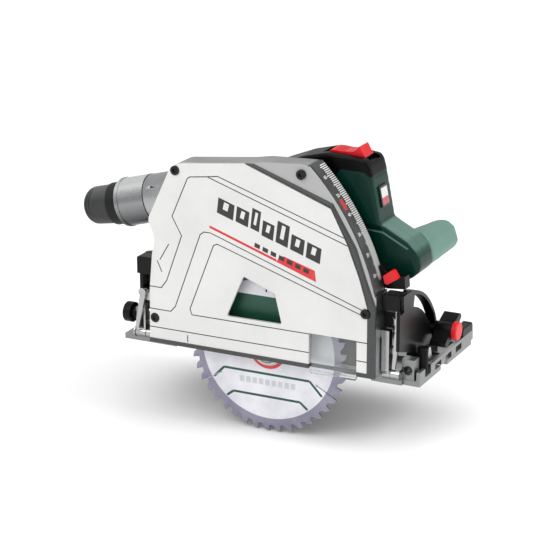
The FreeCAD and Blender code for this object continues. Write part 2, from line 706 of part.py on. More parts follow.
def quadrant(side):
    """Bevel quadrant: degree plate, clamp slot and broad outer rim, centred on the hinge."""
    near, plate = float(D.quadrant_near), float(D.quadrant_plate)
    plate_low, plate_high = (near, near + plate) if side > 0 else (-near - plate, -near)
    rim_low, rim_high = (near - 5.5, near + plate) if side > 0 else (-near - plate, -near + 5.5)
    r_sector, r_inner, r_outer = D.sector_radius, D.rim_inner, D.rim_outer
    start = 13.0
    lowest = [(30, 26), polar(HINGE, float(r_sector), start)]
    if side > 0:
        rim_end, plate_end = 82.0, 96.0
        fan = [(-11.5, 40)] + lowest + \
              [polar(HINGE, float(r_sector), 103) + polar(HINGE, float(r_sector), 55), (-11.5, 78)]
    else:
        rim_end, plate_end = 83.5, 83.5
        fan = [(12.4, 33)] + lowest + \
              [polar(HINGE, float(r_sector), 83.4) + polar(HINGE, float(r_sector), 48)]
    pieces = [prism("yz", fan, plate_low, plate_high),
              prism("yz", sector(HINGE, float(r_inner), float(r_outer), start, rim_end),
                    rim_low, rim_high)]
    for first, last in ((start, 17.0), (rim_end - 6.0, plate_end)):
        pieces.append(prism("yz", sector(HINGE, float(r_sector) - 3, float(r_outer), first, last),
                            plate_low, plate_high))
    return fuse(*pieces)


def make_front_bracket():
    """Black bracket behind the front quadrant's top, where the guard stops upright."""
    block = box((118.5, -4, 76), (136.5, 12, 90.5))
    return node("front_bracket", rounded(block, 2.0, lambda e, p: along(e, Y_AXIS) and p.z > 90))


def make_rear_bracket():
    """Tall black bracket behind the rear quadrant's top."""
    block = box((-140.6, -2, 73.5), (-121.0, 11.9, 91))
    block = rounded(block, 2.5, lambda e, p: along(e, Y_AXIS) and p.z > 90)
    leg = box((-140.6, 3, 46), (-137.0, 11.9, 75))
    return node("rear_bracket", fuse(block, leg))


def front_link():
    """Slim strip with the adjusting screw that meets the front bracket at 0 degrees."""
    strip = prism("xz", [(127.5, 17), (130.5, 17), (134.8, 53), (129.6, 53)], 1.0, 3.5)
    screw_top = rod("z", (131.6, 1.5, 61), 7, 4.0)
    screw_low = rod("z", (131.6, 1.5, 53.0), 8, 2.6)
    nut = rod("z", (131.6, 1.5, 54.5), 3, 3.4)
    neck = rod("z", (131.6, 1.5, 67.5), 7.8, 2.0)
    return fuse(strip, screw_top, screw_low, nut, neck)


def rear_link():
    strip = prism("xz", [(-143.8, 17), (-140.0, 17), (-131.5, 54), (-137.6, 54)], -2.4, 0.6)
    eye = rod("y", (-134.8, -3.6, 55), 4.3, 4.0)
    return fuse(strip, eye)


def make_dust_sleeve():
    """Turning metal sleeve on the guard's outlet, bored through."""
    body = slanted_rod(PORT_END, PORT_BACK, 32.5, D.port_radius)
    bore = slanted_rod(tuple(e - 2.0 * b for e, b in zip(PORT_END, PORT_BACK)), PORT_BACK,
                       60, D.port_bore)
    rim = slanted_rod(tuple(e + 1.0 * b for e, b in zip(PORT_END, PORT_BACK)), PORT_BACK,
                      3.0, D.port_radius + 0.6)
    return node("dust_sleeve", cut(fuse(body, rim), bore))


def make_dust_cuff():
    """Rubber hose cuff, bent to one side, that turns on the sleeve."""
    neck_start = tuple(e - 0.4 * b for e, b in zip(PORT_END, PORT_BACK))
    neck = slanted_rod(tuple(e - 12.0 * b for e, b in zip(PORT_END, PORT_BACK)), PORT_BACK,
                       11.6, D.cuff_radius + 1.2)
    knee_point = tuple(e - 9.0 * b for e, b in zip(PORT_END, PORT_BACK))
    knee = doc.addObject("Part::Sphere", "Knee")
    bind(knee, "Radius", D.cuff_radius)
    place(knee, knee_point)
    outlet = slanted_rod(knee_point, CUFF_DIRECTION, 33, D.cuff_radius, D.cuff_radius - 0.9)
    grooves = []
    for distance in (25.0, 28.5):
        ring_at = tuple(k + distance * d for k, d in zip(knee_point, CUFF_DIRECTION))
        ring = doc.addObject("Part::Torus", "Groove")
        ring.Radius1, ring.Radius2 = float(D.cuff_radius), 0.7
        place(ring, ring_at, FreeCAD.Rotation(V(0, 0, 1), V(*CUFF_DIRECTION)))
        grooves.append(ring)
    outside = fuse(neck, knee, outlet)
    bore_in = slanted_rod(tuple(e - 9.0 * b for e, b in zip(PORT_END, PORT_BACK)), PORT_BACK,
                          24, D.port_bore - 0.5)
    bore_out = slanted_rod(knee_point, CUFF_DIRECTION, 50, D.port_bore - 0.5)
    bore_knee = doc.addObject("Part::Sphere", "BoreKnee")
    bind(bore_knee, "Radius", D.port_bore - 0.5)
    place(bore_knee, knee_point)
    behind = slanted_rod(neck_start, PORT_BACK, 30, 40)
    return node("dust_cuff", cut(outside, behind, bore_in, bore_out, bore_knee, *grooves))


# ---------------------------------------------------------------- blade and drive line
def make_blade():
    """Circular blade: toothed rim, bore and expansion slots."""
    radius, teeth = float(D.blade_radius), 42
    gullet, body_half, kerf_half = 5.6, float(D.blade_body) / 2, float(D.kerf) / 2
    points = []
    step = 2 * math.pi / teeth
    for index in range(teeth):
        tip = -math.pi / 2 - index * step
        for turn, reach in ((0.0, radius), (-0.30, radius - 1.6), (-0.52, radius - gullet),
                            (-0.80, radius - gullet - 0.6), (-0.93, radius - 3.4)):
            angle = tip - turn * -step
            points.append(V(reach * math.cos(angle), 0, reach * math.sin(angle)))
    points.append(points[0])
    face = Part.Face(Part.makePolygon(points))
    body = face.extrude(V(0, 2 * body_half, 0))
    body.translate(V(0, -body_half, 0))
    bore = Part.makeCylinder(float(D.arbor_radius), 6, V(0, -3, 0), V(0, 1, 0))
    body = body.cut(bore)
    for index in range(3):
        angle = math.radians(91.5 + 120 * index)
        hole = V(58.5 * math.cos(angle), -3, 58.5 * math.sin(angle))
        body = body.cut(Part.makeCylinder(1.0, 6, hole, V(0, 1, 0)))
        slot = Part.makeBox(18, 6, 0.9, V(59, -3, -0.45))
        slot.rotate(V(0, 0, 0), V(0, 1, 0), -math.degrees(angle))
        body = body.cut(slot)
    tips = []
    for index in range(teeth):
        angle = math.degrees(-math.pi / 2 - index * step)
        tip = Part.makeBox(5.2, 2 * kerf_half, 1.6, V(radius - 5.2, -kerf_half, 0.0))
        tip.rotate(V(0, 0, 0), V(0, 1, 0), -angle)
        tips.append(tip)
    disc = body.fuse(tips)
    rim = Part.makeCylinder(radius, 6, V(0, -3, 0), V(0, 1, 0))
    shaped = disc.common(rim).removeSplitter()
    blade = doc.addObject("Part::Feature", "Blade")
    blade.Shape = shaped
    place(blade, (0.0, 0.0, D.spindle_z))
    return node("saw_blade", blade)


def involute_gear(teeth, module, width, bore, thin=0.08, addendum=1.0):
    """A spur gear's solid round the Y axis, with a tooth centred on +X and backlash."""
    pitch = teeth * module / 2
    base = pitch * math.cos(math.radians(20))
    outer, root = pitch + addendum * module, pitch - 1.25 * module
    half_angle = math.pi / (2 * teeth) - thin / pitch
    involute_at = lambda r: math.sqrt(max((r / base) ** 2 - 1, 0)) - math.acos(min(base / r, 1))
    flank = []
    for step in range(7):
        reach = max(base, root) + (outer - max(base, root)) * step / 6
        flank.append((reach, half_angle + involute_at(pitch) - involute_at(reach)))
    points = []
    for index in range(teeth):
        centre = 2 * math.pi * index / teeth
        low = flank[0][1]
        gap = (math.pi / teeth - low) * (0.35 if addendum == 1.0 else 0.0)
        side = [(root, low + gap)] + flank
        for reach, offset in side:
            points.append((reach, centre - offset))
        for reach, offset in reversed(side):
            points.append((reach, centre + offset))
    loop = [V(r * math.cos(a), 0, r * math.sin(a)) for r, a in points]
    loop.append(loop[0])
    solid = Part.Face(Part.makePolygon(loop)).extrude(V(0, width, 0))
    return solid.cut(Part.makeCylinder(bore, width + 2, V(0, -1, 0), V(0, 1, 0)))


def gear_node(name, shape, base, turn):
    gear = doc.addObject("Part::Feature", name)
    gear.Shape = shape
    place(gear, base, FreeCAD.Rotation(V(0, 1, 0), -turn))
    return node(name, gear)


SPINDLE_TEETH, IDLER_TEETH, WHEEL_TEETH, PINION_TEETH = 24, 26, 45, 9


def mesh_turn(own_teeth, own_centre, other_teeth, other_centre, other_turn):
    """Turn that puts a gap of this gear on a tooth of the other along their centre line."""
    towards = math.degrees(math.atan2(own_centre[1] - other_centre[1],
                                      own_centre[0] - other_centre[0]))
    other_phase = ((towards - other_turn) * other_teeth / 360.0) % 1.0
    return towards + 180 + (other_phase + 0.5) * 360.0 / own_teeth


def make_drive():
    """Motor pinion, two-part idler and spindle gear, in mesh at rest."""
    spindle = (0.0, float(D.spindle_z))
    idler = (float(D.idler_x), float(D.idler_z))
    motor = (float(D.motor_x), float(D.motor_z))
    distance = math.hypot(idler[0] - spindle[0], idler[1] - spindle[1])
    small_module = distance / ((SPINDLE_TEETH + IDLER_TEETH) / 2)
    distance = math.hypot(idler[0] - motor[0], idler[1] - motor[1])
    wheel_module = distance / ((WHEEL_TEETH + PINION_TEETH) / 2)
    idler_turn = mesh_turn(IDLER_TEETH, idler, SPINDLE_TEETH, spindle, 0)
    pinion_turn = mesh_turn(PINION_TEETH, motor, WHEEL_TEETH, idler, 0)
    gear_node("spindle_gear", involute_gear(SPINDLE_TEETH, small_module, 8, 5),
              (0.0, 15.2, D.spindle_z), 0)
    pinion = involute_gear(IDLER_TEETH, small_module, 9, 4)
    journal = Part.makeCylinder(4.0, 25.0, V(0, -0.2, 0), V(0, 1, 0))
    gear_node("idler_shaft", pinion.fuse(journal), (D.idler_x, 14.8, D.idler_z), idler_turn)
    gear_node("idler_wheel", involute_gear(WHEEL_TEETH, wheel_module, 6, 4, 0.14, 0.75),
              (D.idler_x, 29.0, D.idler_z), 0)
    gear_node("motor_pinion", involute_gear(PINION_TEETH, wheel_module, 7, 2, 0.14, 0.9),
              (D.motor_x, 28.5, D.motor_z), pinion_turn)


def make_spindle():
    """Stepped spindle with the inner flange turned on it."""
    z = D.spindle_z
    shaft = rod("y", (0, 0.62, z), 26.2, 4.0)
    journal = rod("y", (0, 3.4, z), 11.5, 5.0)
    seat = rod("y", (0, 14.0, z), 10.0, 5.0)
    flange = rod("y", (0, 0.65, z), 2.2, D.flange_radius - 1.5)
    pilot = rod("y", (0, -0.55, z), 2.0, D.arbor_radius)
    thread = rod("y", (0, -8, z), 20, 3.0)
    return node("spindle", cut(fuse(shaft, journal, seat, flange, pilot), thread))


def make_outer_flange():
    plate = rod("y", (0, -3.4, D.spindle_z), 2.75, D.flange_radius)
    step = cone("y", (0, -4.6, D.spindle_z), 1.25, 11.0, 13.0)
    return node("outer_flange", cut(fuse(plate, step), rod("y", (0, -6, D.spindle_z), 8, 3.1)))


def make_arbor_bolt():
    head = rod("y", (0, -8.6, D.spindle_z), 3.9, 6.2)
    shank = rod("y", (0, -4.8, D.spindle_z), 15.0, 2.95)
    socket = doc.addObject("Part::Prism", "Socket")
    socket.Polygon, socket.Circumradius, socket.Height = 6, 3.4, 3.0
    place(socket, (0.0, -9.0, D.spindle_z), TURN["y"])
    return node("arbor_bolt", cut(fuse(head, shank), socket))


def make_bearing(axis_xz, start, width, outer, inner):
    """Ball bearing as two races with a shield between them."""
    x, z = axis_xz
    outer_race = tube("y", (x, start, z), width, outer, outer - 1.8)
    inner_race = tube("y", (x, start, z), width, inner + 1.5, inner)
    shield = tube("y", (x, start + 0.6, z), width - 1.2, outer - 1.7, inner + 1.4)
    return fuse(outer_race, inner_race, shield)


def make_bearings():
    spindle = make_bearing((0, D.spindle_z), 5.2, 7, 11.0, 5.03)
    idler = make_bearing((D.idler_x, D.idler_z), 36.2, 3.2, 8.0, 4.03)
    rotor = make_bearing((D.motor_x, D.motor_z), 40.4, 3.8, 12.4, 3.03)
    return node("bearings", group(spindle, idler, rotor))


def make_motor():
    """Stator ring, rotor on its shaft, and the cooling fan behind it."""
    axis = (D.motor_x, D.motor_z)
    stator = tube("y", (axis[0], 58, axis[1]), 36, 30.5, 17.0)
    slots = []
    for index in range(6):
        angle = math.radians(60 * index + 30)
        slots.append(rod("y", (float(axis[0]) + 21.5 * math.cos(angle), 57,
                               float(axis[1]) + 21.5 * math.sin(angle)), 38, 4.6))
    coils = [tube("y", (float(axis[0]) + 24.0 * math.cos(math.radians(60 * i)), 52.5,
                        float(axis[1]) + 24.0 * math.sin(math.radians(60 * i))), 5.4, 6.2, 3.0)
             for i in range(6)]
    node("motor_stator", group(cut(stator, *slots), *coils))
    shaft = rod("y", (axis[0], 28.3, axis[1]), 83.2, 2.0)
    core = rod("y", (axis[0], 57, axis[1]), 38, 16.4)
    collar = rod("y", (axis[0], 37.0, axis[1]), 20.5, 3.0)
    node("motor_rotor", fuse(shaft, core, collar))
    hub = tube("y", (axis[0], 97.5, axis[1]), 8, 6, 2.0)
    plate = tube("y", (axis[0], 97.5, axis[1]), 1.6, 29, 5.9)
    vanes = []
    for index in range(15):
        vane = doc.addObject("Part::Box", "Vane")
        vane.Length, vane.Width, vane.Height = 18.0, 7.0, 1.2
        angle = 24.0 * index
        start = V(10.5, 98.0, -0.6)
        rotation = FreeCAD.Rotation(V(0, 1, 0), -angle)
        base = rotation.multVec(V(start.x, 0, start.z)) + V(float(axis[0]), start.y, float(axis[1]))
        vane.Placement = FreeCAD.Placement(base, rotation)
        vanes.append(vane)
    node("cooling_fan", fuse(hub, plate, *vanes))


# ---------------------------------------------------------------- plunging head
def make_gear_housing():
    """Cast arm and gear case: pivot boss, spindle nose and bearing wall."""
    spindle, idler = (0.0, float(D.spindle_z)), (float(D.idler_x), float(D.idler_z))
    motor = (float(D.motor_x), float(D.motor_z))
    arm = prism("xz", [(-112, 24), (-16, 22), (-24, 62), (-108, 48.5)], 14, 26)
    boss = rod("y", (D.pivot_x, 13.0, D.pivot_z), 27.5, 10.0)
    case = fuse(rod("y", (0, 13.0, D.spindle_z), 15.5, 15.3),
                rod("y", (D.idler_x, 13.0, D.idler_z), 26.5, 27.2),
                rod("y", (D.motor_x, 26.0, D.motor_z), 14, 26.0),
                arm, boss,
                rod("y", (0, 3.2, D.spindle_z), 10.5, D.nose_radius))
    cavity = [rod("y", (0, 14.6, D.spindle_z), 12.5, 13.7),
              rod("y", (D.idler_x, 14.4, D.idler_z), 14.2, 14.6),
              rod("y", (D.idler_x, 28.4, D.idler_z), 7.4, 24.4),
              rod("y", (D.motor_x, 28.0, D.motor_z), 7.8, 7.0),
              rod("y", (D.motor_x, 35.0, D.motor_z), 10, 4.0),
              rod("y", (D.idler_x, 35.5, D.idler_z), 6, 8.0),
              rod("y", (0, 5.2, D.spindle_z), 9.6, 11.0),
              rod("y", (0, 2.0, D.spindle_z), 5, 6.5),
              rod("y", (D.pivot_x, 10, D.pivot_z), 40, D.pivot_radius)]
    lightening = prism("xz", [(-98, 31), (-34, 30), (-38, 52), (-96, 44)], 13, 20)
    lock_bore = rod("x", (18, 21, 37), 20, 3.55)
    return node("gear_housing", cut(case, lightening, lock_bore, *cavity))


def make_motor_housing():
    """Round motor can with cooling slots and its end cap."""
    x, z = D.motor_x, D.motor_z
    near, far = D.motor_near, D.motor_far
    can = tube("y", (x, near, z), far - near - 14, D.motor_radius, D.motor_radius - 2.6)
    face = cut(rod("y", (x, near - 1.8, z), 3.2, D.motor_radius), rod("y", (x, 30, z), 20, 12.5))
    stator_ring = tube("y", (x, 57.0, z), 38, D.motor_radius - 2.5, 30.6)
    intake = []
    for index in range(10):
        angle = math.radians(36 * index)
        slot = doc.addObject("Part::Box", "Slot")
        slot.Length, slot.Width, slot.Height = 14.0, 9.0, 3.0
        rotation = FreeCAD.Rotation(V(0, 1, 0), -36.0 * index)
        base = rotation.multVec(V(26, 0, -1.5)) + V(float(x), 97.5, float(z))
        slot.Placement = FreeCAD.Placement(base, rotation)
        intake.append(slot)
    node("motor_housing", cut(fuse(can, face, stator_ring), *intake))
    cap = rounded(rod("y", (x, far - 13.9, z), 14, D.motor_radius), 7.0,
                  lambda e, p: p.y > 123 and e.Length > 100)
    hollow = rod("y", (x, far - 15, z), 12.4, D.motor_radius - 6.5)
    grille = [box((x - 22 + 6 * i, far - 4, z - 12), (x - 19.4 + 6 * i, far + 1, z + 12))
              for i in range(8)]
    return node("motor_end_cap", cut(cap, hollow, *grille))


GRIP_OUTLINE = [(97.0, 191), (94, 202.5), (88, 208.3, 91.5, 206.8), (50, 210.6),
                (24, 204), (0, 194.5), (-21, 184.8), (-36.5, 168.5, -31.2, 178), (-33, 156),
                (-15, 150.5), (0, 160), (25, 169), (50, 175), (56.5, 180, 55.2, 176.9),
                (58.6, 190.6)]


def handle_outline():
    """Closed handle and front housing in side view, without the hand opening."""
    front = [(-50, 106), (118, 104), (118, 93.5), (127, 95), (136, 99.8), (143.2, 106.5),
             (144.3, 109.2), (144.2, 112.5), (142.8, 119.5), (140, 126), (130, 135.5),
             (108, 147), (105, 148.5)]
    top = [(96.5, 190.4), (91, 199), (84, 205), (50, 207.4), (25, 201), (1, 191.5),
           (-20, 182), (-29, 174.5), (-33.5, 166), (-30, 151), (-37, 135), (-50, 120)]
    return front + top


HAND_OPENING = [(-20, 126), (-16, 122.5, -19.2, 123.5), (54, 122.5), (61, 129, 59.5, 123.8),
                (61.6, 150), (59, 184), (50, 178), (25, 172), (-1, 163), (-15, 153.5),
                (-18, 148, -17.5, 151)]


def shell_half(low, high, cavity_low, cavity_high, near_side):
    """One moulded half of the handle and front housing, hollow towards the seam."""
    column = prism("xz", handle_outline(), low, high)
    face = float(low if near_side else high)
    column = rounded(column, 4.0, lambda e, p: abs(p.y - face) < 0.01)
    opening = prism("xz", HAND_OPENING, low - 1, high + 1)
    grip_room = [(-42, 158.5), (-42, 215), (100, 215), (100, 191.2), (61, 191.2), (61.5, 170),
                 (20, 160), (0, 158), (-15, 150.2)]
    room_low, room_high = (low - 1, low + 3) if near_side else (high - 3, high + 1)
    grip_core = prism("xz", grip_room, room_low, room_high)
    cavity = prism("xz", [(-46, 110), (112, 107), (124, 98.5), (138, 107), (138.5, 114),
                          (127, 131), (105, 143), (99, 146), (92.5, 188), (86, 199),
                          (50, 203.5), (26, 197.5), (3, 188.5), (-18, 178), (-28.5, 166),
                          (-25.5, 151), (-32, 132), (-46, 117)], cavity_low, cavity_high)
    inner_wall = prism("xz", [(-23, 123), (-17, 119.5), (56, 119.5), (64, 127), (64.6, 150),
                              (61.5, 187), (50, 181), (25, 175), (-2, 166), (-18, 155.5),
                              (-21.5, 148)], cavity_low - 1, cavity_high + 1)
    trigger_slot = box((24, 30, 160), (54, 46, 190))
    button_slot = box((50, 30, 195), (84, 46, 212))
    return cut(column, opening, grip_core, cut(cavity, inner_wall), trigger_slot, button_slot)


SHELL_SCREWS = ((-43, 113), (20, 113), (98, 113), (77, 155), (78, 184))


def make_shells():
    seam, half = D.seam, D.handle_half
    right = shell_half(seam - half, seam, seam - half + 4.5, seam + 1, True)
    trim = prism("xz", [(62, 60), (160, 60), (160, 149), (107.5, 147.6), (90, 148), (78, 143),
                        (62, 140)], seam - half - 1, 23.5)
    motor_room = rod("y", (D.motor_x, 10, D.motor_z), 60, D.motor_radius + 0.6)
    right = cut(right, trim, motor_room)
    node("housing_right", right)
    left = shell_half(seam, seam + half, seam - 1, seam + half - 4.5, False)
    motor_room = rod("y", (D.motor_x, 10, D.motor_z), 60, D.motor_radius + 0.6)
    screw_room = [rod("y", (x, 41, z), 20, 1.5) for x, z in SHELL_SCREWS]
    screw_room += [rod("y", (x, 54.5, z), 5, 3.1) for x, z in SHELL_SCREWS]
    node("housing_left", cut(left, motor_room, *screw_room))


def make_front_panel():
    """Raised field on the front housing's near side, with a bevelled edge."""
    outline = [(66, 108), (117, 104), (124, 99), (141, 108.5), (141.6, 111), (132.5, 128.5),
               (107, 141.5), (92, 142.5), (78, 138), (66, 134)]
    plate = prism("xz", outline, 22.0, 23.45)
    return node("front_panel", rounded(plate, 1.2, lambda e, p: abs(p.y - 22.0) < 0.01,
                                       "Part::Chamfer"))


def make_grip():
    """Rubber grip sleeve over the handle's top bar, open for trigger and button."""
    seam, half = D.seam, D.handle_half
    sleeve = prism("xz", GRIP_OUTLINE, seam - half + 0.2, seam + half - 0.2)
    sleeve = rounded(sleeve, 3.0, lambda e, p: abs(abs(p.y - 38) - 18.8) < 0.01)
    core = prism("xz", [(100, 188), (96.6, 190.4), (91, 199), (84, 205), (50, 207.4),
                        (25, 201), (1, 191.5), (-20, 182), (-29, 174.5), (-33.5, 166),
                        (-30, 151), (-30, 147), (-18.1, 147), (-17.2, 151.2), (-15, 153.5),
                        (-1, 163), (25, 172), (50, 178), (59, 184)],
                 seam - half + 2.95, seam + half - 2.95)
    trigger_slot = box((24, 30, 160), (54, 46, 190))
    button_slot = box((43, 27.5, 204.9), (97, 48.5, 216))
    lower = prism("xz", [(59, 150), (110, 150), (110, 191.3), (59, 191.3)], 10, 70)
    return node("grip_sleeve", cut(sleeve, core, trigger_slot, button_slot, lower))


def make_trigger():
    """Finger trigger with a guide tab inside the handle."""
    blade = prism("xz", [(26.5, 170), (30, 163.6, 27.3, 165.4), (45, 165.5),
                         (50.5, 169.5, 49.2, 166.8), (51.5, 186), (27, 182)], 31, 45)
    return node("trigger", rounded(blade, 0.8, lambda e, p: abs(abs(p.y - 38) - 7) < 0.01))


def make_lock_button():
    """Red lock-off slider in the grip's top, with a raised thumb ramp in front."""
    outline = [(50, 208.4), (82, 207.0), (85.8, 208.2), (82.8, 212.6), (80.4, 217.2),
               (79, 217.5, 79.8, 217.7), (70.5, 211.9, 75.4, 213.6), (62, 211.6), (53.5, 212.0),
               (49, 210.0, 50.4, 211.6)]
    slider = prism("xz", outline, 28.5, 47.5)
    grooves = [box((x, 30, 210.8), (x + 1, 46, 216)) for x in (55, 57.6, 60.2, 62.8)]
    return node("lock_off_button", cut(slider, *grooves))


def make_label_plate():
    """Plain badge on the handle's front column."""
    outline = [(98.33, 181.5), (102.28, 162.0), (104.1, 162.3), (100.1, 181.9)]
    plate = prism("xz", outline, 29.3, 46.7)
    return node("badge", plate)


def make_front_handle():
    """Front hand grip: a bar that runs across the saw from the front housing."""
    root = [(112, 106), (122, 101), (139, 102), (143, 112), (139.5, 127), (131, 136), (116, 135)]
    tip = [(121, 110), (128, 106), (143.5, 106.5), (147.6, 114), (143, 128), (135.5, 133), (124, 132)]
    bar = loft("xz", [(57.2, root), (D.bar_far, tip)])
    bar = rounded(bar, 5.0, lambda e, p: 70 < p.y < 100 and e.Length > 50)
    collar = prism("xz", [(106, 108), (121, 98.5), (140, 101.5), (143.6, 112), (140, 126.5),
                          (130, 135.5), (110, 142)], 57.0, 57.4)
    return node("front_handle", fuse(bar, collar))


def make_battery():
    """Slide-on battery pack with its rail shoe, and the foot it slides on."""
    rear, front, near, far = D.battery_rear, D.battery_front, D.battery_near, D.battery_far
    bottom, top = D.battery_bottom, D.battery_top
    case = box((rear, near, bottom), (front, far, top))
    case = rounded(case, 6.0, lambda e, p: (along(e, Z_AXIS) and p.x < -95)
                   or (along(e, Y_AXIS) and p.x < -95))
    rails = cut(box((front - 0.5, near + 10, bottom + 6), (front + 6, far - 10, top - 12)),
                box((front, near + 9, bottom), (front + 3, near + 13, top)),
                box((front, far - 13, bottom), (front + 3, far - 9, top)))
    waist = [box((rear - 1, near - 1, z), (front - 8, near + 1.2, z + 3)) for z in (50, 70, 90)]
    waist += [box((rear - 1, far - 1.2, z), (front - 8, far + 1, z + 3)) for z in (50, 70, 90)]
    lock_pocket = [box((-92, near - 1, 118), (-74, near + 7, 130)),
                   box((-92, far - 7, 118), (-74, far + 1, 130))]
    node("battery_pack", cut(fuse(case, rails), *waist, *lock_pocket))
    shoe = box((front + 0.6, near + 4, bottom + 4), (front + 13, far - 4, top - 6))
    channel = box((front + 0.3, near + 9.6, bottom + 5.6), (front + 6.4, far - 9.6, top + 1))
    lips = [box((front + 0.6, near + 8, bottom + 3), (front + 2.8, near + 12.7, top - 5)),
            box((front + 0.6, far - 12.7, bottom + 3), (front + 2.8, far - 8, top - 5))]
    arm_low = box((front + 12, 64, 52), (-24, 108, 86))
    arm_high = box((front + 2, near - 0.9, 108), (-30, near + 5, 119))
    core = rod("y", (D.motor_x, 30, D.motor_z), 90, D.motor_radius + 0.05)
    foot = cut(fuse(cut(shoe, channel), *lips, arm_low, arm_high), core)
    node("battery_foot", foot)
    for name, start, end in (("battery_button_right", near + 0.4, near + 3.9),
                             ("battery_button_left", far - 3.9, far - 0.4)):
        key = box((-91.6, start, 118.4), (-74.4, end, 129.6))
        node(name, key)


def make_electronics():
    board = box((72, 28.5, 111), (108, 30.1, 129))
    chips = [box((75 + 8.4 * i, 30.0, 113), (80 + 8.4 * i, 33.0, 119)) for i in range(4)]
    capacitor = rod("y", (92, 30.0, 124.2), 14, 3.8)
    switch = box((30, 31.5, 191.8), (52, 44.5, 197.6))
    return node("switch_and_board", group(fuse(board, capacitor, *chips), switch))


def make_spindle_lock():
    """Push button that pins the idler while the blade is changed."""
    pin = rod("x", (21.6, 21, 37), 13, 3.5)
    cap = rod("x", (34.4, 21, 37), 6, 5.5)
    return node("spindle_lock_button", fuse(pin, cap))


def make_housing_screws():
    """Screws that hold the two housing shells together, seen from the far side."""
    screws = []
    for x, z in SHELL_SCREWS:
        head = rod("y", (x, 54.5, z), 2.4, 3.0)
        shank = rod("y", (x, 42, z), 13, 1.4)
        recess = rod("y", (x, 56.0, z), 2, 1.3)
        screws.append(cut(fuse(head, shank), recess))
    return node("housing_screws", group(*screws))


def make_model():
    make_base_plate()
    make_corner_guard()
    make_rail_knob("rail_knob", 146.4, 30.0)
    make_adjuster_plate()
    for name, piece in (("hinge_lugs", hinge_lug), ("hinge_pins", hinge_pin),
                        ("quadrant_stands", quadrant_stand), ("hinge_arms", hinge_arm),
                        ("clamp_arms", clamp_arm),
                        ("bevel_quadrants", quadrant)):
        node(name, group(piece(1), piece(-1)))
    node("bevel_links", group(front_link(), rear_link()))
    make_clamp_knob("front_clamp_knob", 1)
    make_clamp_knob("rear_clamp_knob", -1)
    make_bevel_pointer()
    make_clamp_cap()
    make_stop_knob()
    make_guard_housing()
    make_guard_cover()
    make_guard_frame()
    make_cover_screws()
    make_sight_window()
    make_depth_scale()
    make_depth_stop()
    make_pivot_pin()
    make_return_spring()
    make_front_bracket()
    make_rear_bracket()
    make_dust_sleeve()
    make_dust_cuff()
    make_blade()
    make_drive()
    make_spindle()
    make_outer_flange()
    make_arbor_bolt()
    make_bearings()
    make_motor()
    make_gear_housing()
    make_motor_housing()
    make_shells()
    make_front_panel()
    make_grip()
    make_trigger()
    make_lock_button()
    make_label_plate()
    make_front_handle()
    make_battery()
    make_electronics()
    make_spindle_lock()
    make_housing_screws()


def check_model():
    """Stop if any object failed or any sub-part's shape is missing or broken."""
    doc.recompute()
    faults = []
    for thing in doc.Objects:
        if "Invalid" in thing.State or "Error" in thing.State:
            users = [user.Label for user in thing.InListRecursive if user.Label in NODES]
            faults.append(f"{thing.Name} is {thing.State} in {users}")
    for name, part in NODES.items():
        shape = part.Shape
        if shape.isNull() or not shape.isValid() or shape.Volume < 1:
            faults.append(f"{name} has no valid solid")
    if faults:
        raise RuntimeError("; ".join(faults))


def write_parts():
    os.makedirs("parts", exist_ok=True)
    for name, part in NODES.items():
        part.Shape.exportStep(f"parts/{name}.step")
        print(f"{name}: {len(part.Shape.Solids)} solid(s), {part.Shape.Volume / 1000:.2f} cm3")


make_model()
check_model()
write_parts()
print(len(NODES), "nodes")
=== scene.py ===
import bpy
import bmesh
import math
from mathutils import Vector, Matrix


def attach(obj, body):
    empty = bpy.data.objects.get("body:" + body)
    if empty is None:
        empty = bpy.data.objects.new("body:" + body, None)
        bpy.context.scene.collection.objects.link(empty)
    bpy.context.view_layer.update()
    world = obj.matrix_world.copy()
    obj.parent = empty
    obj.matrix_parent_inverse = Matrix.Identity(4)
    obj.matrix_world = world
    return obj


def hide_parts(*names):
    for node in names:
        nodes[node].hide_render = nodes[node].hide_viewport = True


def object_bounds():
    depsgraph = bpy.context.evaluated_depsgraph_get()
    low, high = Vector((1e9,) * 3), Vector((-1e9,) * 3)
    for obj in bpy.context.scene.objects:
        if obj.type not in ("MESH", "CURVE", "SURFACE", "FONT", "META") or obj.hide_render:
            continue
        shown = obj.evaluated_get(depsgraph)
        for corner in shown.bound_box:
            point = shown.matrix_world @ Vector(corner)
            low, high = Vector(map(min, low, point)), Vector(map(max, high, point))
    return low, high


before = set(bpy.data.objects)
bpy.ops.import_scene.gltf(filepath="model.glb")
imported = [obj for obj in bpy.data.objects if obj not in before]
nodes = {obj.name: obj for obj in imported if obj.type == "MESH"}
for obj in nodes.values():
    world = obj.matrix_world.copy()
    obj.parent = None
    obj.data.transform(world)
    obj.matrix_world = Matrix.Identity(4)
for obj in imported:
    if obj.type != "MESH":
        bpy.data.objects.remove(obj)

cad_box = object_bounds()

# Shapes are in mm, which MM turns into metres. What a shader measures is in metres.
MM = 0.001
PIVOT = (-114.5, 35.5)                    # plunge pivot in the side view, (x, z)
ARBOR_HEIGHT = 16.5                       # z of the blade's centre with the head plunged
SCALE_START, SCALE_STEP = 15.2, 0.49      # first scale mark and pitch, degrees about PIVOT
PORT_END = (-158.5, 12.0, 139.1)          # where the hose cuff meets the dust sleeve
PORT_BACK = (math.cos(math.radians(15)), 0.0, math.sin(math.radians(15)))
CUFF_WAY = (-0.894, 0.361, -0.265)        # direction of the cuff's open end
NEAR_SIDE, FAR_SIDE, SEAM = 19.0, 57.0, 38.0    # the handle's faces and parting line, y
SEAM_GAP, GRIP_INSET = 0.1, 0.2           # shell from the parting line, grip from a face
SHARP_ANGLE = 50                          # degrees; a fold past this shows as an edge


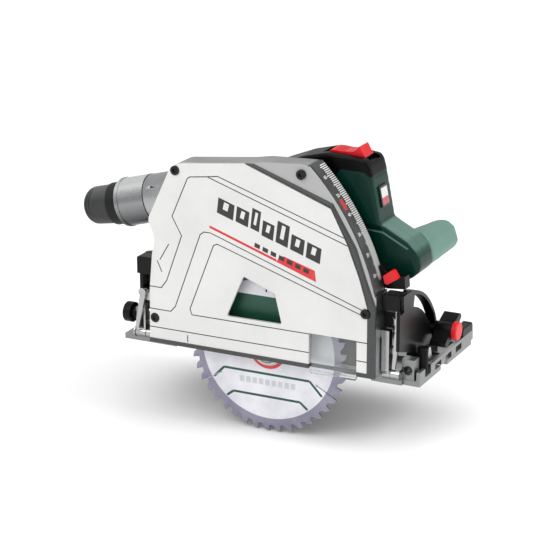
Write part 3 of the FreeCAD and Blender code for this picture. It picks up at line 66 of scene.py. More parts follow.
# ---------------------------------------------------------------- materials
def srgb(r, g, b):
    """Linear colour from 8-bit display values."""
    return tuple((c / 255 / 12.92) if c <= 10 else (((c / 255) + 0.055) / 1.055) ** 2.4
                 for c in (r, g, b)) + (1.0,)


class Shader:
    """Builds one node material; its coordinates are the object's own, in metres."""

    def __init__(self, name):
        self.material = bpy.data.materials.new(name)
        self.material.use_nodes = True
        self.tree = self.material.node_tree
        self.bsdf = self.tree.nodes["Principled BSDF"]
        self.place = self.add("ShaderNodeTexCoord").outputs["Object"]

    def add(self, kind):
        return self.tree.nodes.new(kind)

    def link(self, start, end):
        self.tree.links.new(start, end)

    def set(self, **values):
        """Fixed values of the surface, named by socket with _ for spaces."""
        for key, value in values.items():
            self.bsdf.inputs[key.replace("_", " ")].default_value = value

    def noise(self, scale, detail=4.0, rough=0.55, stretch=None):
        node = self.add("ShaderNodeTexNoise")
        node.inputs["Scale"].default_value = scale
        node.inputs["Detail"].default_value = detail
        node.inputs["Roughness"].default_value = rough
        if stretch:
            mapping = self.add("ShaderNodeMapping")
            mapping.inputs["Scale"].default_value = stretch
            self.link(self.place, mapping.inputs["Vector"])
            self.link(mapping.outputs["Vector"], node.inputs["Vector"])
        else:
            self.link(self.place, node.inputs["Vector"])
        return node.outputs["Fac"]

    def remap(self, value, low, high, to_low, to_high):
        node = self.add("ShaderNodeMapRange")
        for key, number in (("From Min", low), ("From Max", high), ("To Min", to_low),
                            ("To Max", to_high)):
            node.inputs[key].default_value = number
        self.link(value, node.inputs["Value"])
        return node.outputs["Result"]

    def rise(self, value, low, high):
        """0 below low, 1 above high."""
        return self.remap(value, low, high, 0.0, 1.0)

    def fall(self, value, low, high):
        """1 below low, 0 above high."""
        return self.remap(value, low, high, 1.0, 0.0)

    def math(self, operation, first, second=None):
        node = self.add("ShaderNodeMath")
        node.operation = operation
        for index, value in enumerate((first, second)):
            if value is None:
                continue
            if isinstance(value, (int, float)):
                node.inputs[index].default_value = value
            else:
                self.link(value, node.inputs[index])
        return node.outputs[0]

    def times(self, first, second):
        return self.math("MULTIPLY", first, second)

    def less(self, first, second):
        return self.math("SUBTRACT", first, second)

    def length(self, first, second):
        """Distance from two offsets at right angles."""
        return self.math("SQRT", self.math("ADD", self.times(first, first),
                                           self.times(second, second)))

    def union(self, masks):
        whole = masks[0]
        for mask in masks[1:]:
            whole = self.math("MAXIMUM", whole, mask)
        return whole

    def mix(self, factor, first, second):
        node = self.add("ShaderNodeMix")
        node.data_type = "RGBA"
        for socket, value in ((node.inputs[0], factor), (node.inputs[6], first),
                              (node.inputs[7], second)):
            if isinstance(value, (int, float, tuple)):
                socket.default_value = value
            else:
                self.link(value, socket)
        return node.outputs[2]

    def mottle(self, noise, first, second):
        """Two colours blended by a noise."""
        return self.mix(self.rise(noise, 0.3, 0.7), first, second)

    def axes(self):
        split = self.add("ShaderNodeSeparateXYZ")
        self.link(self.place, split.inputs[0])
        return split.outputs

    def facing_up(self):
        """How far the surface faces the sky, from -1 to 1."""
        split = self.add("ShaderNodeSeparateXYZ")
        self.link(self.add("ShaderNodeNewGeometry").outputs["Normal"], split.inputs[0])
        return split.outputs[2]

    def finish(self, colour, gloss_noise, low_rough, high_rough):
        """Links the colour, and a roughness that varies with a noise."""
        self.link(colour, self.bsdf.inputs["Base Color"])
        self.link(self.remap(gloss_noise, 0.3, 0.7, low_rough, high_rough),
                  self.bsdf.inputs["Roughness"])

    def bump(self, height, strength, distance):
        node = self.add("ShaderNodeBump")
        node.inputs["Strength"].default_value = strength
        node.inputs["Distance"].default_value = distance
        self.link(height, node.inputs["Height"])
        self.link(node.outputs["Normal"], self.bsdf.inputs["Normal"])


def scaled(colour, share):
    return tuple(min(1.0, c * share) for c in colour[:3]) + (1.0,)


def surface(name, colour, roughness=0.5, metallic=0.0, grain=900.0, grain_depth=0.00006,
            vary=0.08, stretch=None, coat=0.0, specular=0.5, underside_shade=0.0, top_highlight=None):
    """Moulded, painted or machined surface: mottled colour, uneven gloss and fine grain.

    The darkening of what faces the ground is painted shade; the (colour, share) laid on what
    faces up is a painted highlight.
    """
    shader = Shader(name)
    shader.set(Metallic=metallic, Coat_Weight=coat, Specular_IOR_Level=specular)
    broad = shader.noise(22.0, 5.0, 0.6)
    fine = shader.noise(grain, 3.0, 0.6, stretch)
    tone = shader.mottle(broad, scaled(colour, 1 - vary), scaled(colour, 1 + vary))
    # Painted shade: faces turned towards the ground are darkened.
    if underside_shade:
        shade = shader.remap(shader.facing_up(), -0.8, 0.35, underside_shade, 0.0)
        tone = shader.mix(shade, tone, scaled(colour, 0.12))
    # Painted highlight: faces turned up are lightened towards a paler colour.
    if top_highlight:
        highlight_colour, share = top_highlight
        tone = shader.mix(shader.remap(shader.facing_up(), 0.35, 0.9, 0.0, share), tone, highlight_colour)
    shader.link(tone, shader.bsdf.inputs["Base Color"])
    gloss = shader.math("ADD", shader.remap(fine, 0.3, 0.7, roughness - 0.06, roughness + 0.06),
                        shader.remap(broad, 0.3, 0.7, -0.04, 0.04))
    shader.link(gloss, shader.bsdf.inputs["Roughness"])
    shader.bump(fine, 0.35, grain_depth)
    return shader.material


def brushed(name, colour, roughness):
    """Steel with fine lines along the saw, darker underneath as painted shade."""
    return surface(name, colour, roughness, 1.0, 1.0, 0.000008, 0.10, (120, 1600, 1600),
                   underside_shade=0.9)


# Finishes that darken faces turned down carry painted shade; those that lighten faces turned up
# carry a painted highlight.
MAT = {
    "cast_alloy": surface("cast_alloy", srgb(150, 152, 153), 0.34, 0.95, 1500, 0.00008, 0.10,
                          underside_shade=0.8),
    "turned_alloy": surface("turned_alloy", srgb(158, 160, 161), 0.26, 1.0, 1.0, 0.000003, 0.05,
                            (900, 60, 900), underside_shade=1.0, top_highlight=(srgb(246, 247, 247), 0.9)),
    "dark_grey": surface("dark_grey", srgb(62, 64, 64), 0.30, 0.35, 1300, 0.00006, 0.10,
                         coat=0.15),
    "sole_metal": surface("sole_metal", srgb(150, 152, 152), 0.34, 0.95, 1.0, 0.00003, 0.14,
                          (40, 900, 900), underside_shade=0.8, top_highlight=(srgb(190, 190, 190), 0.6)),
    "black_plastic": surface("black_plastic", srgb(8, 8, 9), 0.34, 0.0, 1600, 0.00008, 0.25,
                             specular=0.16),
    "black_paint": surface("black_paint", srgb(8, 8, 9), 0.30, 0.0, 1500, 0.00007, 0.25,
                           specular=0.2),
    "black_rubber": surface("black_rubber", srgb(3, 3, 4), 0.36, 0.0, 1100, 0.00015, 0.3,
                            specular=0.12),
    "housing_green": surface("housing_green", srgb(0, 44, 35), 0.30, 0.0, 1700, 0.00007, 0.12,
                             specular=0.2, underside_shade=0.5, top_highlight=(srgb(104, 136, 126), 0.7)),
    # The front handle's bar: a paler green, partly its own colour and partly a painted highlight.
    "sage_green": surface("sage_green", srgb(90, 126, 114), 0.42, 0.0, 1700, 0.00007, 0.08,
                          specular=0.4),
    "red_plastic": surface("red_plastic", srgb(206, 16, 26), 0.34, 0.0, 1400, 0.00004, 0.10,
                           specular=0.4),
    "bright_steel": brushed("bright_steel", srgb(196, 196, 197), 0.24),
    "core_steel": brushed("core_steel", srgb(112, 110, 108), 0.42),
    "board_green": surface("board_green", srgb(18, 78, 48), 0.45, 0.0, 500, 0.0001, 0.2),
    "screw_dark": surface("screw_dark", srgb(30, 30, 31), 0.28, 0.6, 1500, 0.00005, 0.15),
    "scale_white": surface("scale_white", srgb(228, 228, 226), 0.5, 0.0, 1500, 0.00002, 0.04),
}


def wall_of(shader, value, low, high, soft=0.00012):
    """1 between two levels of a coordinate, all in metres, soft at each edge."""
    return shader.times(shader.rise(value, low - soft, low + soft),
                        shader.fall(value, high - soft, high + soft))


def line_of(shader, axes, a, b):
    """Signed distance, in metres, from the line a-b in the side view, above it positive."""
    (ax, az), (bx, bz) = [(p[0] * MM, p[1] * MM) for p in (a, b)]
    length = math.hypot(bx - ax, bz - az)
    nx, nz = -(bz - az) / length, (bx - ax) / length
    return shader.math("ADD", shader.times(shader.less(axes[0], ax), nx),
                       shader.times(shader.less(axes[2], az), nz))


def polygon_of(shader, axes, corners, soft=0.0001):
    """1 inside a convex polygon of the side view, its corners going anticlockwise."""
    mask = None
    for a, b in zip(corners, corners[1:] + corners[:1]):
        side = shader.rise(line_of(shader, axes, a, b), -soft, soft)
        mask = side if mask is None else shader.times(mask, side)
    return mask


def stroke_of(shader, axes, a, b, half):
    """1 on a straight stroke of the side view, its half width given in mm."""
    length = math.hypot(b[0] - a[0], b[1] - a[1])
    nx, nz = -(b[1] - a[1]) / length * half, (b[0] - a[0]) / length * half
    return polygon_of(shader, axes, [(a[0] - nx, a[1] - nz), (b[0] - nx, b[1] - nz),
                                     (b[0] + nx, b[1] + nz), (a[0] + nx, a[1] + nz)])


def slanted_block(x, low, width, height, slope, lean):
    """Corners of a block whose foot climbs by slope and whose sides lean forward."""
    climb = slope * width
    return [(x, low), (x + width, low + climb), (x + width + lean, low + climb + height),
            (x + lean, low + height)]


def cover_paint():
    """White painted cover: red stripe, slanted blocks as letters, painted shade in the grooves,
    and a greyer flange, partly its own tone and partly painted shade.
    """
    shader = Shader("cover_paint")
    axes = shader.axes()
    depth = axes[1]
    broad, fine = shader.noise(16, 4.0), shader.noise(1800, 2.0)
    white = shader.mottle(broad, srgb(208, 208, 207), srgb(219, 219, 217))
    # The greyer flange is partly its own tone and partly painted shade.
    shelf = shader.rise(depth, -13.3 * MM, -13.2 * MM)
    ahead = shader.rise(line_of(shader, axes, (-17, 200.6), (71, 168.2)), 0.0, 0.0002)
    below = shader.rise(line_of(shader, axes, (71, 168.2), (108.8, 76.8)), 0.0, 0.0002)
    flange = shader.times(shelf, shader.union([ahead, below]))
    white = shader.mix(shader.times(flange, 0.8), white, srgb(150, 151, 150))
    # Painted shade: the groove walls are near black.
    face = shader.fall(depth, -14.45 * MM, -14.35 * MM)
    groove = shader.times(shader.rise(depth, -14.42 * MM, -14.1 * MM),
                          shader.fall(depth, -13.9 * MM, -13.7 * MM))
    colour = shader.mix(groove, white, srgb(26, 27, 28))

    stripe = [[(-54, 133.9), (16, 110.2), (16, 112.8), (-54, 136.5)],
              [(15.8, 110.3), (53, 97.5), (55.5, 107.2), (24, 116.6), (19.5, 116.2)],
              [(53, 97.5), (56.8, 96.2), (55.5, 107.2)]]
    red = shader.union([polygon_of(shader, axes, corners) for corners in stripe])

    slope = -38.0 / 112.0
    blocks = [(-46, 17, 150, 15), (-26.5, 13, 144, 15), (-11, 9, 139.5, 20), (0.5, 12, 134, 15),
              (15, 12.5, 129.5, 21), (30, 13.5, 124.5, 15), (46, 14.5, 119, 15)]
    marks = []
    for x, width, low, height in blocks:
        lean = height * 0.12
        block = polygon_of(shader, axes, slanted_block(x, low, width, height, slope, lean))
        left, across = x + width * 0.36, width * 0.3
        climb = slope * across
        eye = polygon_of(shader, axes, [(left, low + 4), (left + across, low + 4 + climb),
                                        (left + across + lean, low + climb + height - 4),
                                        (left + lean, low + height - 4)])
        marks.append(shader.times(block, shader.less(1.0, eye)))
    for index in range(7):
        x = -7 + 8.4 * index
        low = 121.8 + slope * (x + 7)
        marks.append(polygon_of(shader, axes, slanted_block(x, low, 5.6, 4.2, slope, 0.7)))
    for a, b in (((-98, 112), (-108, 95)), ((-111, 94), (-106, 83)), ((-79, 16), (-79, 23))):
        marks.append(stroke_of(shader, axes, a, b, 0.5))
    dark = shader.times(shader.union(marks), face)

    colour = shader.mix(shader.times(red, face), colour, srgb(206, 34, 40))
    colour = shader.mix(dark, colour, srgb(28, 28, 30))
    shader.set(Metallic=0.0, Coat_Weight=0.15, Coat_Roughness=0.2)
    shader.finish(colour, fine, 0.30, 0.42)
    shader.bump(shader.math("ADD", fine, shader.times(dark, 2.0)), 0.25, 0.00005)
    return shader.material


def blade_print():
    """Ground steel blade: violet-grey rim, white printed field, green lines, grinding rings."""
    shader = Shader("blade_print")
    axes = shader.axes()
    x, y, z = axes
    height = shader.less(z, ARBOR_HEIGHT * MM)
    radius = shader.length(x, height)
    near = shader.fall(y, -0.45 * MM, -0.35 * MM)
    rim = shader.rise(radius, 69.8 * MM, 70.2 * MM)
    broad, fine = shader.noise(30, 4.0), shader.noise(1400, 3.0)
    field = shader.mix(shader.rise(broad, 0.35, 0.65), srgb(206, 206, 213), srgb(228, 228, 233))
    steel = shader.mottle(broad, srgb(124, 122, 140), srgb(150, 148, 164))

    strokes = [((-47, -25), (44, -25)), ((-47, -25), (-58, -36.5)), ((44, -25), (57, -38.5)),
               ((-37, -48), (34, -48)), ((-37, -48), (-44, -53.5)), ((34, -48), (42, -54.5))]
    green = [stroke_of(shader, axes, (ax, az + ARBOR_HEIGHT), (bx, bz + ARBOR_HEIGHT), 1.2)
             for (ax, az), (bx, bz) in strokes]
    band = shader.times(wall_of(shader, height, 26 * MM, 53 * MM, 0.0003),
                        shader.fall(radius, 66.5 * MM, 67 * MM))
    foot = ARBOR_HEIGHT - 36.5
    words = [polygon_of(shader, axes, slanted_block(-30 + 6.8 * index, foot, 4.8, 6.0, 0.0, 0.0))
             for index in range(9)]
    ring = wall_of(shader, radius, 16.0 * MM, 19.5 * MM, 0.0002)

    colour = shader.mix(shader.union(green + [band]), field, srgb(18, 74, 56))
    colour = shader.mix(shader.times(shader.union(words), 0.6), colour, srgb(168, 176, 174))
    colour = shader.mix(ring, colour, srgb(206, 60, 62))
    colour = shader.mix(rim, colour, steel)
    colour = shader.mix(near, steel, colour)
    shader.finish(colour, fine, 0.28, 0.42)
    printed = shader.times(near, shader.less(1.0, rim))
    shader.link(shader.remap(printed, 0.0, 1.0, 0.6, 0.1), shader.bsdf.inputs["Metallic"])
    grinding = shader.math("SINE", shader.times(radius, 21000.0))
    shader.bump(shader.math("ADD", shader.times(grinding, 0.3), fine), 0.25, 0.00004)
    return shader.material


def scale_print():
    """Dark scale strip: white marks on its far half and a red one on its near half."""
    shader = Shader("scale_print")
    x, y, z = shader.axes()
    angle = shader.math("ARCTAN2", shader.less(z, PIVOT[1] * MM), shader.less(x, PIVOT[0] * MM))
    step = shader.math("DIVIDE", shader.less(angle, math.radians(SCALE_START)),
                       math.radians(SCALE_STEP))
    from_half = shader.math("ADD", step, 0.5)
    off_mark = shader.math("ABSOLUTE", shader.less(shader.math("FRACT", from_half), 0.5))
    tick = shader.fall(off_mark, 0.19, 0.27)
    every_fifth = shader.fall(shader.math("FRACT", shader.math("DIVIDE", from_half, 5.0)),
                              0.19, 0.21)
    tick_start = shader.remap(every_fifth, 0.0, 1.0, 0.8 * MM, -1.4 * MM)
    inside = shader.times(shader.math("GREATER_THAN", y, tick_start),
                          shader.fall(y, 11.0 * MM, 11.2 * MM))
    span = wall_of(shader, angle, math.radians(16.2), math.radians(45.4), 0.0005)
    marks = shader.times(shader.times(tick, inside), span)
    red = shader.times(wall_of(shader, angle, math.radians(33.6), math.radians(36.4), 0.0006),
                       wall_of(shader, y, -8.5 * MM, -2.5 * MM))
    broad, fine = shader.noise(40, 4.0), shader.noise(1500, 3.0)
    colour = shader.mottle(broad, srgb(52, 53, 54), srgb(72, 73, 74))
    colour = shader.mix(marks, colour, srgb(228, 228, 226))
    colour = shader.mix(shader.times(red, 0.85), colour, srgb(196, 58, 62))
    shader.finish(colour, fine, 0.30, 0.44)
    shader.bump(shader.math("ADD", fine, marks), 0.3, 0.00006)
    return shader.material


def clear_plastic():
    """Clear chip shield with fine upright scratches."""
    shader = Shader("clear_plastic")
    shader.set(Base_Color=(0.93, 0.95, 0.95, 1.0), Transmission_Weight=0.92, IOR=1.25)
    fine = shader.noise(700, 3.0)
    scratches = shader.noise(1.0, 3.0, 0.7, (30, 30, 2200))
    shader.link(shader.remap(scratches, 0.45, 0.75, 0.04, 0.22), shader.bsdf.inputs["Roughness"])
    shader.bump(fine, 0.1, 0.00002)
    return shader.material


def guard_casting():
    """Bright casting, greyer on its curved front as painted shade,
    near black in the blade's chamber as painted shade.
    """
    shader = Shader("guard_casting")
    axes = shader.axes()
    broad, fine = shader.noise(24, 4.0), shader.noise(1500, 3.0)
    bright = shader.mottle(broad, srgb(150, 152, 153), srgb(184, 186, 187))
    # Painted shade: the inside of the blade's chamber is near black.
    chamber = wall_of(shader, axes[1], -11.9 * MM, 9.7 * MM, 0.0001)
    for a, b in (((-119, 130), (-82, 190.4)), ((-82, 190.4), (0, 200.9)), ((0, 200.9), (55, 199)),
                 ((55, 199), (90, 150)), ((90, 150), (113.8, 90)), ((114.1, 90), (114.1, 0))):
        chamber = shader.times(chamber, shader.fall(line_of(shader, axes, a, b), -0.0003, 0.0003))
    # Painted shade: a darker band on the curved front wall.
    from_pivot = shader.length(shader.less(axes[0], PIVOT[0] * MM),
                               shader.less(axes[2], PIVOT[1] * MM))
    painted_front_shade = shader.times(shader.rise(from_pivot, 233.5 * MM, 234.5 * MM),
                              shader.rise(axes[1], -13.6 * MM, -13.2 * MM))
    colour = shader.mix(painted_front_shade, bright, srgb(92, 93, 94))
    shader.finish(shader.mix(chamber, colour, srgb(16, 16, 17)), fine, 0.30, 0.42)
    shader.link(shader.remap(chamber, 0.0, 1.0, 0.92, 0.0), shader.bsdf.inputs["Metallic"])
    shader.bump(fine, 0.3, 0.00008)
    return shader.material


def cuff_rubber():
    """Grey rubber with a darker neck, two slots near the mouth dark as painted shade,
    a painted highlight on top and painted shade underneath.
    """
    shader = Shader("cuff_rubber")
    axes = shader.axes()
    broad, fine = shader.noise(26, 4.0), shader.noise(1300, 3.0)

    def along(start, direction):
        terms = [shader.times(shader.less(axis, at * MM), share)
                 for axis, at, share in zip(axes, start, direction)]
        return shader.math("ADD", shader.math("ADD", terms[0], terms[1]), terms[2])

    knee = tuple(e - 9.0 * b for e, b in zip(PORT_END, PORT_BACK))
    grey = shader.mottle(broad, srgb(40, 41, 41), srgb(52, 53, 53))
    # Painted highlight on faces turned up, painted shade on faces turned down.
    up = shader.facing_up()
    grey = shader.mix(shader.remap(up, 0.3, 0.95, 0.0, 0.7), grey, srgb(104, 105, 105))
    grey = shader.mix(shader.remap(up, -0.9, -0.1, 0.8, 0.0), grey, srgb(14, 14, 14))
    neck = shader.rise(along(PORT_END, PORT_BACK), -12.6 * MM, -11.6 * MM)
    grey = shader.mix(shader.times(neck, 0.85), grey, srgb(14, 14, 15))
    reach = along(knee, CUFF_WAY)
    side = wall_of(shader, shader.less(axes[2], knee[2] * MM), -14.0 * MM, 9.0 * MM, 0.001)
    # Painted shade: two near-black bands stand in for the slots.
    for start in (24.0, 28.2):
        slot = wall_of(shader, reach, start * MM, (start + 1.9) * MM, 0.0002)
        grey = shader.mix(shader.times(slot, side), grey, srgb(8, 8, 8))
    shader.set(Specular_IOR_Level=0.2)
    shader.finish(grey, fine, 0.42, 0.56)
    shader.bump(fine, 0.35, 0.00012)
    return shader.material


def badge_face():
    """Plain badge: pale face inside a dark frame, red in its lower part."""
    shader = Shader("badge_face")
    axes = shader.axes()
    fine = shader.noise(900, 3.0)
    face = shader.times(wall_of(shader, axes[1], 31.3 * MM, 44.7 * MM, 0.0002),
                        wall_of(shader, axes[2], 164.3 * MM, 179.7 * MM, 0.0002))
    red = shader.times(face, shader.fall(axes[2], 170.6 * MM, 171.0 * MM))
    pale = shader.mottle(fine, srgb(196, 198, 199), srgb(214, 215, 215))
    colour = shader.mix(face, srgb(20, 22, 22), pale)
    colour = shader.mix(shader.times(red, 0.9), colour, srgb(170, 22, 40))
    shader.finish(colour, fine, 0.18, 0.3)
    shader.bump(fine, 0.15, 0.00003)
    return shader.material


MAT["guard_casting"] = guard_casting()
MAT["cuff_rubber"] = cuff_rubber()
MAT["badge_plastic"] = badge_face()
MAT["cover_paint"] = cover_paint()
MAT["blade_print"] = blade_print()
MAT["scale_print"] = scale_print()
MAT["clear_plastic"] = clear_plastic()


def paint(obj, name):
    obj.data.materials.clear()
    obj.data.materials.append(MAT[name])


# ---------------------------------------------------------------- mesh building
def new_object(name, mesh_data):
    """An object made from a bmesh, which is used up; not yet in the scene."""
    mesh = bpy.data.meshes.new(name)
    mesh_data.to_mesh(mesh)
    mesh_data.free()
    return bpy.data.objects.new(name, mesh)


# ---------------------------------------------------------------- CAD nodes that stay
FINISH = {
    "base_plate": "sole_metal", "corner_guard": "black_plastic", "adjuster_cam": "bright_steel",
    "hinge_lugs": "bright_steel", "hinge_pins": "bright_steel",
    "quadrant_stands": "black_paint", "bevel_quadrants": "black_paint",
    "bevel_pointer": "red_plastic", "front_bracket": "black_paint",
    "rear_bracket": "black_paint", "guard_housing": "guard_casting",
    "guard_cover": "cover_paint", "guard_frame": "dark_grey", "cover_screws": "screw_dark",
    "depth_scale": "scale_print", "plunge_pivot_pin": "screw_dark",
    "return_spring": "bright_steel", "hinge_arms": "bright_steel", "clamp_arms": "black_plastic",
    "bevel_links": "bright_steel", "front_clamp_knob": "black_plastic",
    "front_clamp_cap": "red_plastic", "rear_clamp_knob": "black_plastic",
    "rear_stop_knob": "black_plastic", "rail_knob": "black_plastic",
    "sight_window": "clear_plastic", "depth_stop": "black_plastic", "stop_key": "red_plastic",
    "dust_sleeve": "turned_alloy", "dust_cuff": "cuff_rubber", "gear_housing": "cast_alloy",
    "bearings": "bright_steel", "motor_stator": "core_steel", "motor_housing": "black_plastic",
    "motor_end_cap": "black_plastic", "housing_right": "housing_green",
    "housing_left": "housing_green", "front_panel": "housing_green",
    "grip_sleeve": "black_rubber", "badge": "badge_plastic", "front_handle": "sage_green",
    "battery_foot": "black_plastic", "switch_and_board": "board_green",
    "housing_screws": "screw_dark", "saw_blade": "blade_print", "spindle": "bright_steel",
    "spindle_gear": "core_steel", "outer_flange": "bright_steel", "arbor_bolt": "screw_dark",
    "idler_shaft": "core_steel", "idler_wheel": "core_steel", "motor_rotor": "core_steel",
    "motor_pinion": "core_steel", "cooling_fan": "black_plastic", "trigger": "black_plastic",
    "lock_off_button": "red_plastic", "spindle_lock_button": "black_plastic",
    "battery_pack": "black_plastic", "battery_button_right": "red_plastic",
    "battery_button_left": "red_plastic",
}
for name, material in FINISH.items():
    paint(nodes[name], material)

SOFT_EDGES = {"base_plate": 0.5, "quadrant_stands": 0.6, "bevel_quadrants": 0.5,
              "front_bracket": 0.4, "rear_bracket": 0.8, "guard_cover": 0.25,
              "guard_frame": 0.3, "hinge_arms": 0.4, "battery_pack": 0.5, "battery_foot": 0.6,
              "depth_stop": 0.5, "stop_key": 0.5, "front_clamp_knob": 0.8,
              "rear_clamp_knob": 0.8, "adjuster_cam": 0.3, "bevel_links": 0.3,
              "gear_housing": 0.5, "motor_housing": 0.4, "sight_window": 0.2,
              "trigger": 0.4, "badge": 0.5, "guard_housing": 0.4, "clamp_arms": 0.4}
SOFT_EDGE_ANGLE = 35                      # degrees; flatter edges stay as they are
for name, width in SOFT_EDGES.items():
    weld = nodes[name].modifiers.new("weld", "WELD")
    weld.merge_threshold = 0.01 * MM
    edge = nodes[name].modifiers.new("soft_edges", "BEVEL")
    edge.width, edge.segments = width * MM, 2
    edge.limit_method, edge.angle_limit = "ANGLE", math.radians(SOFT_EDGE_ANGLE)


# ---------------------------------------------------------------- moulded pieces
def solid_of(slabs):
    """One mesh from side-view slabs, each (outline, near level, far level)."""
    data = bmesh.new()
    for outline, low, high in slabs:
        rows = [[data.verts.new(Vector((a, level, b)) * MM) for a, b in outline]
                for level in (low, high)]
        caps = [data.faces.new(rows[0]), data.faces.new(list(reversed(rows[1])))]
        count = len(outline)
        for index in range(count):
            after = (index + 1) % count
            caps.append(data.faces.new((rows[0][after], rows[0][index], rows[1][index],
                                        rows[1][after])))
        bmesh.ops.recalc_face_normals(data, faces=caps)
    return new_object("slabs", data)


def evaluated(obj):
    """The object's mesh with its modifiers applied, the object itself removed."""
    graph = bpy.context.evaluated_depsgraph_get()
    graph.update()
    mesh = bpy.data.meshes.new_from_object(obj.evaluated_get(graph))
    bpy.data.objects.remove(obj)
    return mesh


def moulded(rough, voxel, rounds, cutters=()):
    """Melts a rough solid into a smooth moulding, then cuts its openings."""
    scene = bpy.context.scene
    scene.collection.objects.link(rough)
    melt = rough.modifiers.new("melt", "REMESH")
    melt.mode, melt.voxel_size = "VOXEL", voxel * MM
    soften = rough.modifiers.new("soften", "SMOOTH")
    soften.factor, soften.iterations = 0.5, rounds
    blocks = []
    for cutter in cutters:
        scene.collection.objects.link(cutter)
        opening = rough.modifiers.new("opening", "BOOLEAN")
        opening.operation, opening.object, opening.solver = "DIFFERENCE", cutter, "EXACT"
        blocks.append(cutter)
    mesh = evaluated(rough)
    for block in blocks:
        bpy.data.objects.remove(block)
    return mesh


def half_of(mesh, level, keep_low):
    """One side of a mesh cut at a level of y, with the cut closed."""
    data = bmesh.new()
    data.from_mesh(mesh)
    every = data.verts[:] + data.edges[:] + data.faces[:]
    result = bmesh.ops.bisect_plane(data, geom=every, plane_co=(0, level * MM, 0),
                                    plane_no=(0, 1, 0), clear_outer=keep_low,
                                    clear_inner=not keep_low)
    rim = [e for e in result["geom_cut"] if isinstance(e, bmesh.types.BMEdge)]
    bmesh.ops.holes_fill(data, edges=rim)
    return data


def piece(name, mesh_data, material, body, replaces):
    """A finished visible piece, smooth but for its sharp edges, riding on its body."""
    obj = new_object(name, mesh_data)
    bpy.context.scene.collection.objects.link(obj)
    paint(obj, material)
    for polygon in obj.data.polygons:
        polygon.use_smooth = True
    obj.data.set_sharp_from_angle(angle=math.radians(SHARP_ANGLE))
    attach(obj, body)
    if replaces:
        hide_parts(*replaces)


def mesh_data_of(mesh):
    """The bmesh of a mesh."""
    data = bmesh.new()
    data.from_mesh(mesh)
    return data


LOOP_REAR = [(-50, 106), (-16, 106), (-16, 122.5), (-20, 126), (-18, 148), (-15, 153.5),
             (-33.5, 166), (-30, 151), (-37, 135), (-50, 120)]
LOOP_FLOOR = [(-50, 106), (64, 104.6), (64, 122.5), (-16, 122.5), (-50, 120)]
LOOP_TOP = [(-30, 151), (-15, 153.5), (-1, 163), (25, 172), (50, 178), (59, 184), (97, 188),
            (96.5, 190.4), (91, 199), (84, 205), (50, 207.4), (25, 201), (1, 191.5), (-20, 182),
            (-29, 174.5), (-33.5, 166)]
LOOP_COLUMN = [(54, 122.5), (66, 122.5), (66, 146), (105.6, 146), (105, 148.5), (96.5, 191.4),
               (91, 199), (62, 199), (59, 184), (61.6, 150), (61, 129)]
FRONT_HOUSING = [(62, 104.6), (118, 104), (118, 93.5), (127, 95), (136, 99.8), (143.2, 106.5),
                 (144.3, 109.2), (144.2, 112.5), (142.8, 119.5), (140, 126), (130, 135.5),
                 (108, 147), (62, 147)]
GRIP = [(97, 191.3), (94, 202.5), (91.5, 206.8), (88, 208.3), (50, 210.6), (24, 204),
        (0, 194.5), (-21, 184.8), (-31.2, 178), (-36.5, 168.5), (-33, 156), (-15, 150.5),
        (0, 160), (25, 169), (50, 175), (55.2, 176.9), (56.5, 180), (58.6, 191.3)]
TRIGGER_GAP = ([(24, 160), (54, 160), (54, 193), (24, 193)], 30, 46)
BUTTON_GAP = ([(43, 204.9), (97, 204.9), (97, 218), (43, 218)], 27.5, 48.5)

handle_mesh = moulded(solid_of([(LOOP_REAR, NEAR_SIDE, FAR_SIDE),
                                (LOOP_FLOOR, NEAR_SIDE, FAR_SIDE), (LOOP_TOP, 23, 53),
                                (LOOP_COLUMN, NEAR_SIDE, FAR_SIDE),
                                (FRONT_HOUSING, 23.5, FAR_SIDE)]),
                      voxel=1.5, rounds=14, cutters=[solid_of([TRIGGER_GAP])])
piece("right_shell", half_of(handle_mesh, SEAM - SEAM_GAP, True), "housing_green", "head",
      ("housing_right",))
piece("left_shell", half_of(handle_mesh, SEAM + SEAM_GAP, False), "housing_green", "head",
      ("housing_left",))

grip_mesh = moulded(solid_of([(GRIP, NEAR_SIDE + GRIP_INSET, FAR_SIDE - GRIP_INSET)]),
                    voxel=1.4, rounds=16,
                    cutters=[solid_of([TRIGGER_GAP]), solid_of([BUTTON_GAP])])
piece("soft_grip", mesh_data_of(grip_mesh), "black_rubber", "head",
      ("grip_sleeve",))

BAR_ROOT = [(112, 106), (122, 101), (139, 102), (143, 112), (139.5, 127), (131, 136), (116, 135)]
BAR_TIP = [(121, 110), (128, 106), (143.5, 106.5), (147.6, 114), (143, 128), (135.5, 133),
           (124, 132)]
BAR_ROOT_LEVEL, BAR_TIP_LEVEL = 57.2, 114.0


def bar_solid():
    """The front handle's bar, tapering from its root to its tip."""
    data = bmesh.new()
    rows = [[data.verts.new(Vector((a, level, b)) * MM) for a, b in outline]
            for outline, level in ((BAR_ROOT, BAR_ROOT_LEVEL), (BAR_TIP, BAR_TIP_LEVEL))]
    data.faces.new(rows[0])
    data.faces.new(rows[1])
    for index in range(len(BAR_ROOT)):
        after = (index + 1) % len(BAR_ROOT)
        data.faces.new((rows[0][index], rows[0][after], rows[1][after], rows[1][index]))
    bmesh.ops.recalc_face_normals(data, faces=data.faces)
    return new_object("bar", data)


piece("front_grip_bar", mesh_data_of(moulded(bar_solid(), voxel=1.3, rounds=34)),
      "sage_green", "head", ("front_handle",))


FIRST_NUMBER, NUMBER_STEP = 17.65, 4.9    # degrees about PIVOT
NUMBER_LEVEL, NUMBER_RADIUS = -5.6, 237.24    # y, and distance from PIVOT


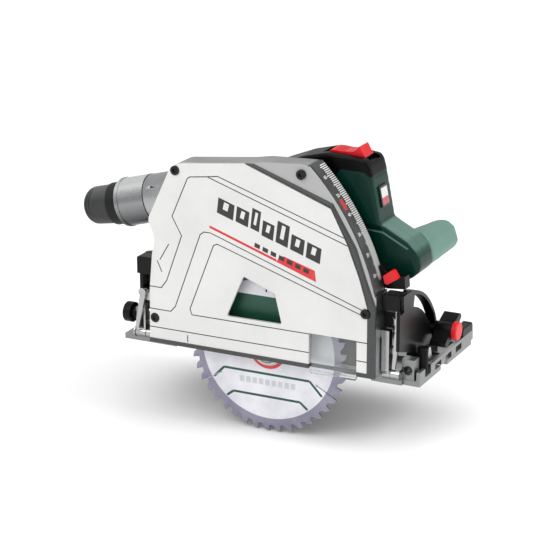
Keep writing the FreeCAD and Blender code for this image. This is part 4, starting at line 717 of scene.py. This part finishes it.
def scale_numbers():
    """Small raised numbers on the scale strip's near half, every tenth mark."""
    data = bmesh.new()
    for index in range(6):
        curve = bpy.data.curves.new("digits", "FONT")
        curve.body = str(10 * (index + 1))
        curve.size, curve.extrude = 5.0 * MM, 0.03 * MM
        curve.align_x, curve.align_y = "CENTER", "CENTER"
        label = bpy.data.objects.new("digits", curve)
        bpy.context.scene.collection.objects.link(label)
        digits = evaluated(label)
        angle = math.radians(FIRST_NUMBER + NUMBER_STEP * index)
        outward = Vector((math.cos(angle), 0, math.sin(angle)))
        centre = Vector((PIVOT[0], NUMBER_LEVEL, PIVOT[1])) + outward * NUMBER_RADIUS
        turn = Matrix((Vector((0, 1, 0)), Vector((-outward.z, 0, outward.x)), outward))
        digits.transform(Matrix.Translation(centre * MM) @ turn.transposed().to_4x4())
        data.from_mesh(digits)
    return data


piece("scale_numbers", scale_numbers(), "scale_white", "guard_frame_body", ())


# ---------------------------------------------------------------- camera, light, floor
LENS, SENSOR = 137.09, 36.0
CAMERA_PLACE, CAMERA_AIM = (849.5, -1705.1, 714.1), (12.65, 0, 87.78)
SKY_STRENGTH, WORLD_STRENGTH = 1.45, 0.62
FLOOR_SIZE, FLOOR_DROP = 14.0, 0.5 * MM   # both in metres; the drop keeps it off the saw

scene = bpy.context.scene
camera_data = bpy.data.cameras.new("camera")
camera_data.lens, camera_data.sensor_width = LENS, SENSOR
camera = bpy.data.objects.new("camera", camera_data)
scene.collection.objects.link(camera)
camera.location = Vector(CAMERA_PLACE) * MM
target = Vector(CAMERA_AIM) * MM
camera.rotation_euler = (target - camera.location).to_track_quat("-Z", "Y").to_euler()
camera_data.clip_start, camera_data.clip_end = 0.05, 40.0
scene.camera = camera


def area_light(name, place, aim, size, power):
    """A white panel that faces its aim; places and sizes in metres, power in watts."""
    data = bpy.data.lights.new(name, "AREA")
    data.shape, data.size, data.size_y = "RECTANGLE", size[0], size[1]
    data.energy = power
    light = bpy.data.objects.new(name, data)
    scene.collection.objects.link(light)
    light.location = place
    light.rotation_euler = (Vector(aim) - Vector(place)).to_track_quat("-Z", "Y").to_euler()


area_light("key", (-0.6, -1.7, 1.5), (0, 0, 0.1), (1.2, 1.2), 11)
area_light("side", (1.6, 0.2, 1.1), (0, 0, 0.1), (0.7, 1.2), 16)
sky_data = bpy.data.lights.new("sky", "SUN")
sky_data.energy, sky_data.angle = SKY_STRENGTH, math.radians(90)
sky = bpy.data.objects.new("sky", sky_data)
scene.collection.objects.link(sky)
sky.rotation_euler = (math.radians(12), 0, 0)
world = bpy.data.worlds.new("world")
scene.world = world
world.use_nodes = True
world.node_tree.nodes["Background"].inputs["Color"].default_value = (1, 1, 1, 1)
world.node_tree.nodes["Background"].inputs["Strength"].default_value = WORLD_STRENGTH

floor_mesh = bmesh.new()
bmesh.ops.create_grid(floor_mesh, x_segments=1, y_segments=1, size=FLOOR_SIZE)
floor = new_object("floor", floor_mesh)
scene.collection.objects.link(floor)
floor.location = (0, 0, cad_box[0][2] - FLOOR_DROP)
floor_shader = Shader("floor_paper")
floor_shader.set(Base_Color=(0.92, 0.92, 0.92, 1), Roughness=0.9)
floor.data.materials.append(floor_shader.material)
scene.view_settings.view_transform = "Standard"
